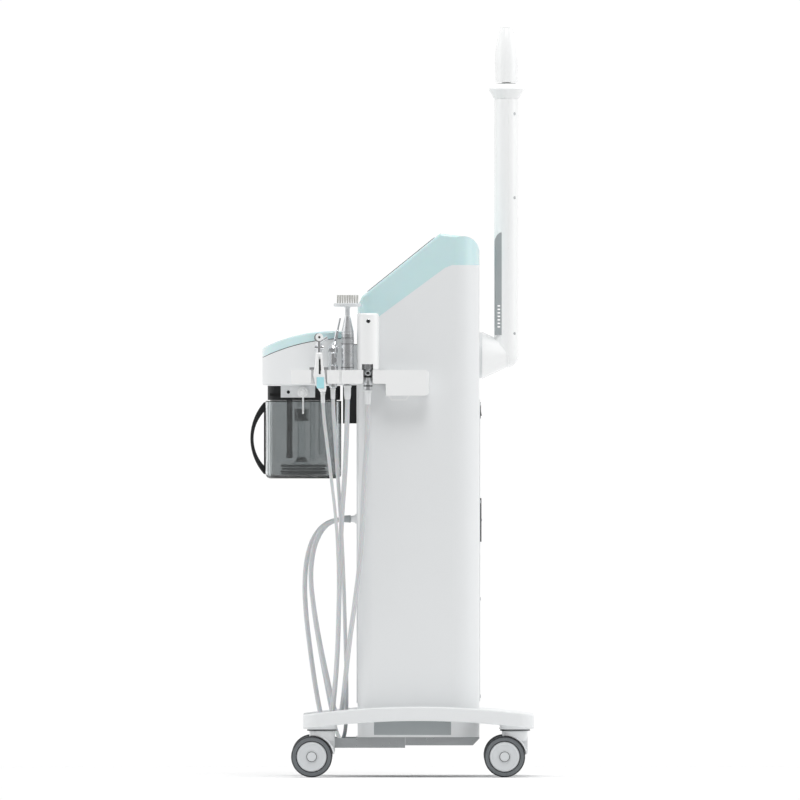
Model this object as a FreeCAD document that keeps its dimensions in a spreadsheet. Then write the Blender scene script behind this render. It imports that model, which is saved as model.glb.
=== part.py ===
"""A facial treatment trolley: a column on four twin-wheel casters, with a touch screen, a bottle housing,
a slide-out waste jar, four hose-fed handpieces in a side holder and a swinging mist arm behind.

+X points to the back of the trolley, +Z up, and the floor is Z = 0. The origin is on the floor, under the
middle of the space between the jar handle's tip and the base's rear edge. Lengths are in millimetres.
"""

import FreeCAD
import Part
import Sketcher
import math
import os
import re

VECTOR = FreeCAD.Vector
DOC = FreeCAD.newDocument("treatment_trolley")

# ---------------------------------------------------------------- driving dimensions

SIZES = {
    # base plate, on its casters
    "base_length": 423,
    "base_width": 460,
    "base_thickness": 26,
    "base_rise": 15,
    "caster_gap": 13,
    "base_clearance": "=wheel_diameter + caster_gap",
    "base_corner": 32,
    "prong_width": 65,
    "front_reach": 97,
    # casters
    "wheel_diameter": 75,
    "tyre_depth": 10,
    "wheel_width": 19,
    "hood_gap": 15,
    "caster_trail": 19,
    "caster_inset_x": 35,
    "caster_inset_y": 40,
    "caster_neck_radius": 23,
    "caster_plate_radius": 27,
    "axle_radius": 5,
    "roll_gap": 0.5,
    # column and its cover
    "column_setback": 100,
    "column_depth": 223,
    "column_width": 340,
    "column_foot": 73,
    "column_wall": 3,
    "front_corner": 27,
    "rear_corner": 50,
    "nose_height": 862,
    "nose_run": 8.5,
    "slope_foot": 880,
    "apex_height": 995,
    "apex_back": 72,
    "ridge_back": 32,
    "ridge_drop": 5,
    "shoulder_height": 959,
    "seam_front": 814,
    "seam_knee": 932,
    "seam_rear": 937,
    "seam_knee_back": 63,
    "seam_flat_back": 50,
    "screen_width": 300,
    "screen_length": 158,
    "screen_thickness": 4,
    "screen_proud": 1.2,
    "panel_proud": 2,
    "window_width": 220,
    "rear_panel_width": 180,
    "rear_panel_thickness": 1.5,
    "inlet_width": 56,
    "inlet_bottom": 430,
    "inlet_height": 80,
    "switch_width": 18,
    "switch_height": 26.6,
    "switch_level": 671,
    "rocker_width": 14.4,
    "rocker_height": 20.4,
    # below the base
    "tray_front": 59.5,
    "tray_rear": 87,
    "tray_width": 240,
    "tray_height": 20,
    "tray_wall": 2.5,
    "tray_lip": 2,
    "ballast_height": 15.5,
    "ballast_bevel": 12,
    # bottle housing and lid
    "housing_floor": 717,
    "housing_depth": 175,
    "housing_width": 300,
    "housing_straight": 57,
    "housing_front_height": 50,
    "housing_mid_height": 75,
    "housing_mid_run": 70,
    "housing_rear_height": 84,
    "housing_wall": 3,
    "lid_gap": 1.4,
    "lid_height": 16.5,
    "lid_rear_height": 10,
    "lid_wall": 3,
    "lid_clearance": 8,
    "hinge_setback": 17,
    "hinge_level": 86.5,
    "hinge_pin_radius": 2.2,
    "bottle_radius": 26,
    "bottle_height": 60,
    # waste jar
    "sleeve_length": 139,
    "sleeve_width": 140,
    "sleeve_top": 688,
    "sleeve_floor": 546,
    "sleeve_corner": 24,
    "sleeve_wall": 3,
    "jar_back_gap": 30,
    "jar_margin": 8.5,
    "jar_wall": 2.5,
    "jar_lid_height": 26,
    "groove_height": 5,
    "groove_depth": 4.5,
    "carrier_thickness": 4,
    "carrier_length": 63,
    "carrier_drop": 22.5,
    "handle_width": 20,
    "handle_grip": 6,
    "latch_radius": 10,
    # handpiece holder
    "rail_bottom": 719.5,
    "rail_top": 745,
    "rail_start": 122,
    "rail_near": 2,
    "rail_depth": 40,
    "block_start": 51.5,
    "block_length": 79,
    "block_drop": 47,
    "handpiece_stand": 24,
    "fit_gap": 0.3,
    # handpieces, each placed by its distance in front of the column
    "gun_place": 70.5,
    "jet_place": 45,
    "pen_place": 18.5,
    "wand_place": -19,
    "gun_slot_width": 29,
    "wand_slot_width": 17,
    "wand_radius": 20,
    "wand_height": 104,
    "pen_radius": 11.7,
    "pen_shank_radius": 9,
    "brush_radius": 25.5,
    "bristle_radius": 23,
    "bristle_length": 15.5,
    "jet_shank_radius": 7.5,
    # mist arm
    "arm_height": 772,
    "arm_stand": 49.7,
    "arm_radius": 22.4,
    "arm_wall": 3,
    "arm_top": 1243,
    "elbow_radius": 43.5,
    "flange_thickness": 4.7,
    "pivot_radius": 20,
    "spine_depth": 13,
    "spine_width": 40,
    "spine_foot": 37,
    "spine_length": 188,
    "collar_radius": 33,
    "collar_rise": 18.5,
    "collar_height": 29,
    "nozzle_length": 104,
    "nozzle_radius": 20.5,
    "nozzle_tip_radius": 10,
    # hoses
    "gun_hose": 6,
    "jet_hose": 7,
    "pen_hose": 9,
    "wand_hose": 9,
    "outlet_height": 472,
    "outlet_reach": 11,
}

# places along X, worked out from the sizes
BASE_CENTRE = "(front_reach / 2)"
BASE_FRONT = f"({BASE_CENTRE} - base_length / 2)"
BASE_REAR = f"({BASE_CENTRE} + base_length / 2)"
COLUMN_FRONT = f"({BASE_FRONT} + column_setback)"
COLUMN_REAR = f"({COLUMN_FRONT} + column_depth)"
HOUSING_FRONT = f"({COLUMN_FRONT} - housing_depth)"
PANEL_FACE = f"({COLUMN_FRONT} - panel_proud)"
SLEEVE_REAR = f"({COLUMN_FRONT} - jar_back_gap)"
SLEEVE_FRONT = f"({SLEEVE_REAR} - sleeve_length)"
ARM_X = f"({COLUMN_REAR} + arm_stand)"
# places along Y and Z
COLUMN_SIDE = "(column_width / 2)"
HANDPIECE_Y = f"(-{COLUMN_SIDE} - handpiece_stand)"
RAIL_BACK = f"(-{COLUMN_SIDE} - rail_near)"
RAIL_FRONT = f"({RAIL_BACK} - rail_depth)"
WHEEL_RADIUS = "(wheel_diameter / 2)"
BASE_TOP = "(base_clearance + base_thickness + base_rise)"
TRAY_BOTTOM = "(column_foot - tray_height)"
COLLAR_TOP = "(arm_top + collar_height)"


def fill_sheet():
    """The spreadsheet of driving dimensions, one aliased cell each. A cell that starts with = follows others."""
    sheet = DOC.addObject("Spreadsheet::Sheet", "Sizes")
    for row, (name, value) in enumerate(SIZES.items(), 1):
        sheet.set(f"A{row}", name)
        sheet.set(f"B{row}", str(value))
        sheet.setAlias(f"B{row}", name)
    DOC.recompute()


def bound(text):
    """An expression with each size's name pointed at its cell."""
    return re.sub(r"[a-z][a-z_]*", lambda w: f"Sizes.{w[0]}" if w[0] in SIZES else w[0], str(text))


def number(text):
    """An expression's value now, in millimetres or degrees."""
    PROBE.setExpression("Value", bound(text))
    PROBE.recompute()
    return PROBE.Value


# ---------------------------------------------------------------- building blocks

PARTS = {}


def keep(node, thing):
    """Marks a document object as a finished sub-part, whose label names its file."""
    thing.Label = node
    PARTS[node] = thing
    return thing


def put(thing, x="0", y="0", z="0", axis=None, angle="0"):
    """Binds an object's placement: a turn about an axis, and then a move."""
    if axis:
        thing.Placement = FreeCAD.Placement(VECTOR(), FreeCAD.Rotation(VECTOR(*axis), number(angle)))
        thing.setExpression("Placement.Rotation.Angle", bound(angle))
    for letter, place in zip("xyz", (x, y, z)):
        thing.setExpression(f"Placement.Base.{letter}", bound(place))
    return thing


def body(name):
    return DOC.addObject("PartDesign::Body", name)


def sketch(owner, plane="XY", offset="0"):
    """A sketch on one of the body's own origin planes, moved along that plane's normal."""
    found = [f for f in owner.Origin.OriginFeatures if f.Role == f"{plane}_Plane"]
    made = owner.newObject("Sketcher::SketchObject", f"{owner.Name}_{plane.lower()}")
    made.AttachmentSupport = (found[0], [""])
    made.MapMode = "FlatFace"
    made.setExpression("AttachmentOffset.Base.z", bound(offset))
    return made


def constrain(made, constraints):
    """Adds (constraint, expression) pairs in one go. An expression of None leaves a constraint unbound."""
    first = made.ConstraintCount
    made.addConstraint([c for c, _ in constraints])
    for index, (_, text) in enumerate(constraints, first):
        if text is not None:
            made.setExpression(f"Constraints[{index}]", bound(text))


def pins(geometry, end, place):
    """The two constraints that hold a sketch point at bound coordinates."""
    return [(Sketcher.Constraint(kind, -1, 1, geometry, end, number(text)), text)
            for kind, text in zip(("DistanceX", "DistanceY"), place)]


def outline(made, points, arcs=None):
    """A closed loop through bound points. arcs maps a side's index to a point that its arc passes through."""
    arcs = arcs or {}
    corners = [VECTOR(number(x), number(y), 0) for x, y in points]
    through = {i: VECTOR(number(x), number(y), 0) for i, (x, y) in arcs.items()}
    count, first = len(points), made.GeometryCount
    sides, ends = [], []
    for i, start in enumerate(corners):
        stop = corners[(i + 1) % count]
        sides.append(Part.Arc(start, through[i], stop) if i in arcs else Part.LineSegment(start, stop))
        # a sketch counts every arc as running anticlockwise
        backward = i in arcs and (through[i] - start).cross(stop - start).z < 0
        ends.append((2, 1) if backward else (1, 2))
    made.addGeometry(sides, False)
    made.addGeometry([Part.Point(p) for p in through.values()], True)
    held = []
    for i in range(count):
        after = (i + 1) % count
        held.append((Sketcher.Constraint("Coincident", first + i, ends[i][1], first + after, ends[after][0]), None))
        held += pins(first + i, ends[i][0], points[i])
    for marker, (i, place) in enumerate(arcs.items(), first + count):
        held += pins(marker, 1, place)
        held.append((Sketcher.Constraint("PointOnObject", marker, 1, first + i), None))
    constrain(made, held)
    return made


def rectangle(made, x0, y0, x1, y1):
    return outline(made, [(x0, y0), (x1, y0), (x1, y1), (x0, y1)])


def circle(made, x, y, radius):
    ring = made.GeometryCount
    made.addGeometry(Part.Circle(VECTOR(number(x), number(y), 0), VECTOR(0, 0, 1), number(radius)), False)
    constrain(made, pins(ring, 3, (x, y)) + [(Sketcher.Constraint("Radius", ring, number(radius)), radius)])
    return made


def rounded_plan(made, x0, x1, half, front, rear):
    """A rectangle about the X axis with one radius on its front corners and another on its rear corners."""
    c = "cos(45)"
    points = [
        (f"{x0} + {front}", f"-{half}"),
        (f"{x1} - {rear}", f"-{half}"),
        (x1, f"-{half} + {rear}"),
        (x1, f"{half} - {rear}"),
        (f"{x1} - {rear}", half),
        (f"{x0} + {front}", half),
        (x0, f"{half} - {front}"),
        (x0, f"-{half} + {front}"),
    ]
    arcs = {
        1: (f"{x1} - {rear} * (1 - {c})", f"-{half} + {rear} * (1 - {c})"),
        3: (f"{x1} - {rear} * (1 - {c})", f"{half} - {rear} * (1 - {c})"),
        5: (f"{x0} + {front} * (1 - {c})", f"{half} - {front} * (1 - {c})"),
        7: (f"{x0} + {front} * (1 - {c})", f"-{half} + {front} * (1 - {c})"),
    }
    return outline(made, points, arcs)


def feature(owner, kind, made, length=None, midplane=False, flip=False):
    """A pad or pocket of a sketch. With no length it goes through everything."""
    done = owner.newObject(f"PartDesign::{kind}", f"{owner.Name}_{kind.lower()}")
    done.Profile = made
    done.Midplane = midplane
    done.Reversed = flip
    if length is None:
        done.Type = "ThroughAll"
    else:
        done.setExpression("Length", bound(length))
    made.Visibility = False
    return done


def pad(owner, made, length, **more):
    return feature(owner, "Pad", made, length, **more)


def pocket(owner, made, length=None, **more):
    return feature(owner, "Pocket", made, length, **more)


def turned(name, points, arcs=None):
    """A body turned about its own Z axis from a half outline of (radius, height) points."""
    owner = body(name)
    made = outline(sketch(owner, "XZ"), points, arcs)
    turn = owner.newObject("PartDesign::Revolution", f"{name}_turn")
    turn.Profile = made
    turn.ReferenceAxis = (made, ["V_Axis"])
    turn.Angle = 360
    return owner


def soften(owner, radius, chosen, kind="Fillet"):
    """Rounds or bevels the edges of the body's last shape that the test picks."""
    DOC.recompute()
    last = owner.Tip
    names = [f"Edge{i}" for i, edge in enumerate(last.Shape.Edges, 1) if chosen(edge)]
    done = owner.newObject(f"PartDesign::{kind}", f"{owner.Name}_{kind.lower()}")
    done.Base = (last, names)
    done.setExpression("Radius" if kind == "Fillet" else "Size", bound(radius))
    return done


def upright(edge):
    """A straight edge that runs along Z."""
    box = edge.BoundBox
    return box.XLength < 0.01 and box.YLength < 0.01 and box.ZLength > 1


def level(height):
    """A test for edges that lie in the plane Z = height."""
    return lambda edge: abs(edge.BoundBox.ZMin - height) < 0.01 and edge.BoundBox.ZLength < 0.01


def block(name, x0, x1, y0, y1, z0, z1):
    """A box between bound limits."""
    made = DOC.addObject("Part::Box", name)
    for side, low, high in (("Length", x0, x1), ("Width", y0, y1), ("Height", z0, z1)):
        made.setExpression(side, bound(f"({high}) - ({low})"))
    return put(made, x0, y0, z0)


def rod(name, radius, length, x="0", y="0", z="0", axis=None, angle="0"):
    """A cylinder that starts at a point and runs along Z, or along Z turned about an axis."""
    made = DOC.addObject("Part::Cylinder", name)
    made.setExpression("Radius", bound(radius))
    made.setExpression("Height", bound(length))
    return put(made, x, y, z, axis, angle)


def cut(name, base, *tools):
    """The base with each tool taken away."""
    for i, tool in enumerate(tools):
        made = DOC.addObject("Part::Cut", f"{name}_cut{i}")
        made.Base = base
        made.Tool = tool
        base = made
    return base


def join(name, *pieces):
    made = DOC.addObject("Part::MultiFuse", f"{name}_join")
    made.Shapes = list(pieces)
    made.Refine = True
    return made


def overlap(name, one, other):
    made = DOC.addObject("Part::Common", f"{name}_common")
    made.Base = one
    made.Tool = other
    return made


def group(name, *pieces):
    """Separate solids that share a node."""
    made = DOC.addObject("Part::Compound", f"{name}_group")
    made.Links = list(pieces)
    return made


ALONG_X = ((0, 1, 0), "90")
ALONG_Y = ((1, 0, 0), "-90")
TOWARDS_FRONT = ((0, 1, 0), "-90")


# ---------------------------------------------------------------- base

def base_plate():
    """The arched base: an open well between two front prongs, and a window that the column drops through."""
    owner = body("base_plate")
    low, high = "base_clearance", "(base_clearance + base_thickness)"
    side = outline(
        sketch(owner, "XZ"),
        [(BASE_FRONT, low), (BASE_REAR, low), (BASE_REAR, high), (BASE_FRONT, high)],
        {0: (BASE_CENTRE, f"{low} + base_rise"), 2: (BASE_CENTRE, f"{high} + base_rise")},
    )
    pad(owner, side, "base_width", midplane=True)
    soften(owner, "base_corner", upright)
    well = sketch(owner, "XY", low)
    rectangle(well, f"{BASE_FRONT} - 1", "prong_width - base_width / 2", COLUMN_FRONT, "base_width / 2 - prong_width")
    pocket(owner, well, "base_thickness + base_rise + 1", flip=True)
    window = column_plan(sketch(owner, "XY", low), "0")
    pocket(owner, window, "base_thickness + base_rise + 1", flip=True)

    def outer_rim(edge):
        box = edge.BoundBox
        wide = number("base_width") / 2 - number("base_corner") - 1
        outside = max(abs(box.YMin), abs(box.YMax)) > wide
        tips = box.XMin < number(BASE_FRONT) + 0.1 or box.XMax > number(BASE_REAR) - 0.1
        return (outside or tips) and not upright(edge)

    soften(owner, "3", outer_rim)
    return owner


def hose_tray():
    """A steel shelf below the base: solid under the column, and a shallow pan before it."""
    owner = body("hose_tray")
    plan = sketch(owner, "XY", TRAY_BOTTOM)
    rectangle(plan, f"{COLUMN_FRONT} - tray_front", "-tray_width / 2", f"{COLUMN_FRONT} + tray_rear", "tray_width / 2")
    pad(owner, plan, "tray_height")
    drop = sketch(owner, "XY", "column_foot")
    rectangle(drop, f"{COLUMN_FRONT} - tray_front - 1", "-tray_width / 2 - 1", f"{COLUMN_FRONT} - tray_wall",
              "tray_width / 2 + 1")
    pocket(owner, drop, "tray_lip")
    pan = sketch(owner, "XY", "column_foot")
    rectangle(pan, f"{COLUMN_FRONT} - tray_front + tray_wall", "tray_wall - tray_width / 2",
              f"{COLUMN_FRONT} - tray_wall", "tray_width / 2 - tray_wall")
    pocket(owner, pan, "tray_height - tray_wall")
    soften(owner, "4", lambda e: upright(e) and e.BoundBox.XMin < number(f"{COLUMN_FRONT} - tray_front") + 0.1)
    return keep("hose_tray", owner)


def ballast_plate():
    """The steel slab under the column's rear, bevelled at its back edge."""
    owner = body("ballast_plate")
    side = sketch(owner, "XZ")
    front, rear = f"({COLUMN_FRONT} + tray_rear + fit_gap)", COLUMN_REAR
    outline(side, [
        (front, "column_foot - ballast_height"),
        (f"{rear} - ballast_bevel", "column_foot - ballast_height"),
        (rear, "column_foot - 3"),
        (rear, "column_foot"),
        (front, "column_foot"),
    ])
    pad(owner, side, "column_width - 2 * rear_corner", midplane=True)
    return keep("ballast_plate", owner)


# ---------------------------------------------------------------- casters

CORNERS = {
    "front_left": (f"{BASE_FRONT} + caster_inset_x", "base_width / 2 - caster_inset_y"),
    "front_right": (f"{BASE_FRONT} + caster_inset_x", "caster_inset_y - base_width / 2"),
    "rear_left": (f"{BASE_REAR} - caster_inset_x", "base_width / 2 - caster_inset_y"),
    "rear_right": (f"{BASE_REAR} - caster_inset_x", "caster_inset_y - base_width / 2"),
}
NECK_TOP = "(base_clearance - 4)"
HOOD_TOP = f"({WHEEL_RADIUS} + {WHEEL_RADIUS})"


def caster_stems():
    """Each caster's mounting plate and its stem, which stands up into the base."""
    made = []
    for corner, (x, y) in CORNERS.items():
        stem = turned(f"stem_{corner}", [
            ("0", f"{NECK_TOP} + 0.4"),
            ("caster_plate_radius - 3", f"{NECK_TOP} + 0.4"),
            ("caster_plate_radius", f"{NECK_TOP} + 1.6"),
            ("caster_plate_radius", "base_clearance"),
            ("8", "base_clearance"),
            ("8", "base_clearance + base_thickness / 2"),
            ("0", "base_clearance + base_thickness / 2"),
        ])
        made.append(put(stem, x, y))
    return keep("caster_stems", group("caster_stems", *made))


def seat_stems(plate):
    """Blind holes in the base for the four stems, with the underside flattened around each of them."""
    holes = []
    for corner, (x, y) in CORNERS.items():
        hole = turned(f"seat_{corner}", [
            ("0", "base_clearance - 1"),
            ("caster_plate_radius + 2", "base_clearance - 1"),
            ("caster_plate_radius + 2", "base_clearance"),
            ("8 + fit_gap", "base_clearance"),
            ("8 + fit_gap", "base_clearance + base_thickness / 2 + fit_gap"),
            ("0", "base_clearance + base_thickness / 2 + fit_gap"),
        ])
        holes.append(put(hole, x, y))
    bosses = [put(turned(f"boss_{c}", [
        ("0", "base_clearance"),
        ("caster_plate_radius", "base_clearance"),
        ("caster_plate_radius", "base_clearance + base_thickness / 2 + 2"),
        ("0", "base_clearance + base_thickness / 2 + 2"),
    ]), x, y) for c, (x, y) in CORNERS.items()]
    raised = join("base_raised", plate, *bosses)
    return keep("base_plate", cut("base_seated", raised, *holes))


def caster(corner, x, y):
    """One swivelling hood, and the pair of wheels that turns on its axle."""
    hood = body(f"{corner}_hood")
    neck = circle(sketch(hood, "XY", f"{HOOD_TOP} - 8"), "0", "0", "caster_neck_radius")
    pad(hood, neck, f"{NECK_TOP} - {HOOD_TOP} + 8")
    web = sketch(hood, "XZ")
    reach, middle = f"({WHEEL_RADIUS} - 4)", "-caster_trail"
    outline(web, [
        (f"{middle} - {reach} * cos(35)", f"{WHEEL_RADIUS} + {reach} * sin(35)"),
        (f"{middle} - 10", f"{WHEEL_RADIUS} - 12"),
        (f"{middle} + 10", f"{WHEEL_RADIUS} - 12"),
        ("caster_neck_radius", f"{WHEEL_RADIUS} + 6"),
        ("caster_neck_radius", f"{HOOD_TOP} - 2"),
        ("-caster_neck_radius", f"{HOOD_TOP} - 2"),
    ])
    pad(hood, web, "hood_gap", midplane=True)
    bore = circle(sketch(hood, "XZ"), middle, WHEEL_RADIUS, "axle_radius + 0.05")
    pocket(hood, bore, None, midplane=True)
    cheek = sketch(hood, "XZ")
    gap = f"({WHEEL_RADIUS} + 2)"
    outer = f"({WHEEL_RADIUS} + 5)"
    outline(cheek, [
        (f"{middle} + {gap} * cos(8)", f"{WHEEL_RADIUS} + {gap} * sin(8)"),
        (f"{middle} + {outer} * cos(8)", f"{WHEEL_RADIUS} + {outer} * sin(8)"),
        (f"{middle} + {outer} * cos(58)", f"{WHEEL_RADIUS} + {outer} * sin(58)"),
        (f"{middle} + {gap} * cos(58)", f"{WHEEL_RADIUS} + {gap} * sin(58)"),
    ], {
        1: (f"{middle} + {outer} * cos(33)", f"{WHEEL_RADIUS} + {outer} * sin(33)"),
        3: (f"{middle} + {gap} * cos(33)", f"{WHEEL_RADIUS} + {gap} * sin(33)"),
    })
    pad(hood, cheek, "hood_gap + 2 * caster_neck_radius - 12", midplane=True)
    for sign in ("", "-"):
        lane = circle(sketch(hood, "XZ", f"{sign}hood_gap / 2"), middle, WHEEL_RADIUS, f"{WHEEL_RADIUS} + 1.5")
        pocket(hood, lane, "wheel_width + 12", flip=not sign)
    put(hood, x, y)
    keep(f"{corner}_caster_hood", hood)

    inner = "(hood_gap / 2 + roll_gap)"
    outside = f"({inner} + wheel_width)"
    hub_edge = f"({WHEEL_RADIUS} - tyre_depth)"
    hubs = []
    for turn, side in (("90", "right"), ("-90", "left")):
        hub = turned(f"{corner}_{side}_hub", [
            ("axle_radius", inner),
            (hub_edge, inner),
            (hub_edge, f"{outside} - 2"),
            (f"{hub_edge} - 2.5", f"{outside}"),
            ("11", f"{outside} - 2.5"),
            ("10", f"{outside} - 1.2"),
            ("axle_radius", f"{outside} - 0.8"),
        ])
        hubs.append(put(hub, f"{x} - caster_trail", y, WHEEL_RADIUS, (1, 0, 0), turn))
    axle = rod(f"{corner}_axle", "axle_radius", f"2 * {outside} - 4", f"{x} - caster_trail",
               f"{y} - {outside} + 2", WHEEL_RADIUS, *ALONG_Y)
    keep(f"{corner}_caster_hubs", join(f"{corner}_hubs", *hubs, axle))

    tyres = []
    for turn, side in (("90", "right"), ("-90", "left")):
        tyre = turned(f"{corner}_{side}_tyre", [
            (hub_edge, inner),
            (f"{WHEEL_RADIUS} - 3", inner),
            (f"{WHEEL_RADIUS}", f"{inner} + 4"),
            (f"{WHEEL_RADIUS}", f"{outside} - 6"),
            (f"{WHEEL_RADIUS} - 4", f"{outside}"),
            (f"{hub_edge} + 1.5", f"{outside}"),
            (hub_edge, f"{outside} - 1.5"),
        ], {1: (f"{WHEEL_RADIUS} - 0.9", f"{inner} + 1.2"), 3: (f"{WHEEL_RADIUS} - 1.1", f"{outside} - 1.9")})
        tyres.append(put(tyre, f"{x} - caster_trail", y, WHEEL_RADIUS, (1, 0, 0), turn))
    keep(f"{corner}_caster_tyres", group(f"{corner}_tyres", *tyres))


# ---------------------------------------------------------------- column

def column_plan(made, inset):
    return rounded_plan(made, f"({COLUMN_FRONT} + {inset})", f"({COLUMN_REAR} - {inset})",
                        f"({COLUMN_SIDE} - {inset})", f"(front_corner - {inset})", f"(rear_corner - {inset})")


# the line between the white shell and the tinted cover, seen from the side
SEAM = [
    (f"{COLUMN_FRONT} - 20", "seam_front"),
    (COLUMN_FRONT, "seam_front"),
    (f"{COLUMN_REAR} - seam_knee_back", "seam_knee"),
    (f"{COLUMN_REAR} - seam_flat_back", "seam_rear"),
    (f"{COLUMN_REAR} + 20", "seam_rear"),
]


def column_shell():
    """The white column: one rounded wall, open above and below, with a window at the front and at the back."""
    owner = body("column_shell")
    pad(owner, column_plan(sketch(owner, "XY", "column_foot"), "0"), "apex_height - column_foot")
    above = SEAM + [
        (f"{COLUMN_REAR} + 20", "apex_height + 20"),
        (f"{COLUMN_FRONT} - 20", "apex_height + 20"),
    ]
    pocket(owner, outline(sketch(owner, "XZ"), above), None, midplane=True)
    pocket(owner, column_plan(sketch(owner, "XY", "column_foot - 1"), "column_wall"), None, flip=True)
    front = sketch(owner, "YZ", COLUMN_FRONT)
    rectangle(front, "-window_width / 2", "base_clearance + 70", "window_width / 2", "housing_floor - 30")
    pocket(owner, front, "2 * column_wall", midplane=True)
    rear = sketch(owner, "YZ", COLUMN_REAR)
    rectangle(rear, "20 - rear_panel_width / 2", "base_clearance + 70", "rear_panel_width / 2 - 20",
              "switch_level - switch_height - 15")
    circle(rear, "0", "arm_height", "pivot_radius + fit_gap")
    switch_window(rear)
    pocket(owner, rear, "2 * column_wall", midplane=True)
    return keep("column_shell", owner)


def cover_block(name, inset, drop):
    """The space under the cover's roof line: the column's plan, less an inset, under a roof lowered by a drop."""
    owner = body(name)
    pad(owner, column_plan(sketch(owner, "XY", "seam_front - 30"), inset), "apex_height - seam_front + 40")
    roof = [
        (f"{COLUMN_FRONT} - 20", f"nose_height - {drop}"),
        (COLUMN_FRONT, f"nose_height - {drop}"),
        (f"{COLUMN_FRONT} + nose_run", f"slope_foot - {drop}"),
        (f"{COLUMN_REAR} - apex_back", f"apex_height - {drop}"),
        (f"{COLUMN_REAR} - ridge_back", f"apex_height - ridge_drop - {drop}"),
        (COLUMN_REAR, f"shoulder_height - {drop}"),
        (f"{COLUMN_REAR} + 20", f"shoulder_height - {drop}"),
        (f"{COLUMN_REAR} + 20", "apex_height + 40"),
        (f"{COLUMN_FRONT} - 20", "apex_height + 40"),
    ]
    bulge = (f"{COLUMN_REAR} - ridge_back * 0.26", f"apex_height - ridge_drop - ridge_back * 0.28 - {drop}")
    pocket(owner, outline(sketch(owner, "XZ"), roof, {4: bulge}), None, midplane=True)
    return owner


SLOPE_FOOT_X = f"({COLUMN_FRONT} + nose_run)"
SLOPE_TOP_X = f"({COLUMN_REAR} - apex_back)"
SLOPE_ANGLE = f"atan2(apex_height - slope_foot; {SLOPE_TOP_X} - {SLOPE_FOOT_X})"
SLOPE_LENGTH = f"sqrt((apex_height - slope_foot)^2 + ({SLOPE_TOP_X} - {SLOPE_FOOT_X})^2)"


def on_slope(owner, lift):
    """Lays a body's XY plane on the sloping roof, its origin at the slope's lower edge and its X axis uphill."""
    return put(owner, f"{SLOPE_FOOT_X} - sin({SLOPE_ANGLE}) * ({lift})", "0",
               f"slope_foot + cos({SLOPE_ANGLE}) * ({lift})", (0, 1, 0), f"-{SLOPE_ANGLE}")


def screen_body(name, grow, thickness):
    owner = body(name)
    start = f"(({SLOPE_LENGTH} - screen_length) / 2 - {grow})"
    stop = f"(({SLOPE_LENGTH} + screen_length) / 2 + {grow})"
    plan = sketch(owner, "XY")
    rounded_plan(plan, start, stop, f"(screen_width / 2 + {grow})", "8", "8")
    pad(owner, plan, thickness)
    return owner


def top_cover():
    """The tinted cover: a hollow hood with a shallow seat for the screen in its sloping roof."""
    outer = cover_block("cover_outer", "0", "0")
    below = SEAM + [
        (f"{COLUMN_REAR} + 20", "seam_front - 60"),
        (f"{COLUMN_FRONT} - 20", "seam_front - 60"),
    ]
    pocket(outer, outline(sketch(outer, "XZ"), below), None, midplane=True)

    def roof_rim(edge):
        box = edge.BoundBox
        side = max(abs(box.YMin), abs(box.YMax)) > number(COLUMN_SIDE) - 0.1
        sloping = box.ZMin > number("slope_foot") - 1 and box.XLength > 20
        above_seam = box.Center.z > number("(seam_rear + shoulder_height) / 2") or sloping
        return side and above_seam and box.YLength < 0.1 and box.XLength > 1 and box.Center.z > roof_at(box.Center.x) - 6

    soften(outer, "5", roof_rim)
    inner = cover_block("cover_inner", "column_wall", "column_wall * 2")
    seat = on_slope(screen_body("screen_seat", "fit_gap", "screen_thickness + 2"), "screen_proud - screen_thickness")
    return keep("top_cover", cut("top_cover", outer, inner, seat))


def roof_at(x):
    """The height of the cover's roof line at a place along X."""
    foot, top = number(SLOPE_FOOT_X), number(SLOPE_TOP_X)
    if x < top:
        share = (x - foot) / (top - foot)
        return number("slope_foot") + share * number("apex_height - slope_foot")
    return number("apex_height - ridge_drop") - 0.4 * max(0, x - number(f"{COLUMN_REAR} - ridge_back"))


def touch_screen():
    owner = screen_body("touch_screen", "0", "screen_thickness")
    soften(owner, "0.8", level(number("screen_thickness")))
    return keep("touch_screen", on_slope(owner, "screen_proud - screen_thickness"))


def front_panel():
    """The tinted panel that closes the front window."""
    owner = body("front_panel")
    plan = sketch(owner, "YZ", PANEL_FACE)
    half = f"({COLUMN_SIDE} - front_corner)"
    rectangle(plan, f"-{half}", f"{BASE_TOP} + 6", half, "housing_floor - fit_gap")
    pad(owner, plan, "panel_proud")
    soften(owner, "1.2", lambda e: abs(e.BoundBox.XMin - number(PANEL_FACE)) < 0.01 and e.BoundBox.XLength < 0.01)
    return keep("front_panel", owner)


def switch_window(made):
    """The opening that the mains switch's case passes through."""
    half, tall = "(switch_width / 2 + fit_gap)", "(switch_height / 2 + fit_gap)"
    return rectangle(made, f"-{half}", f"switch_level - {tall}", half, f"switch_level + {tall}")


def rear_panel():
    """The service panel over the rear window, with rows of vent slots and openings for the inlet and the switch."""
    owner = body("rear_panel")
    plan = sketch(owner, "YZ", COLUMN_REAR)
    half = "(rear_panel_width / 2)"
    rectangle(plan, f"-{half}", "base_clearance + 50", half, "switch_level + 20")
    rectangle(plan, "4 - inlet_width / 2", "inlet_bottom + 4", "inlet_width / 2 - 4", "inlet_bottom + inlet_height - 4")
    switch_window(plan)
    pad(owner, plan, "rear_panel_thickness")
    slots = sketch(owner, "YZ", COLUMN_REAR)
    for row in range(6):
        height = f"base_clearance + 100 + {row * 14}"
        for side in (-1, 1):
            rectangle(slots, f"{side * 32} - 24", height, f"{side * 32} + 24", f"{height} + 5")
    pocket(owner, slots, "4", midplane=True)
    return keep("rear_panel", owner)


REAR_FACE = f"({COLUMN_REAR} + rear_panel_thickness)"


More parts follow.
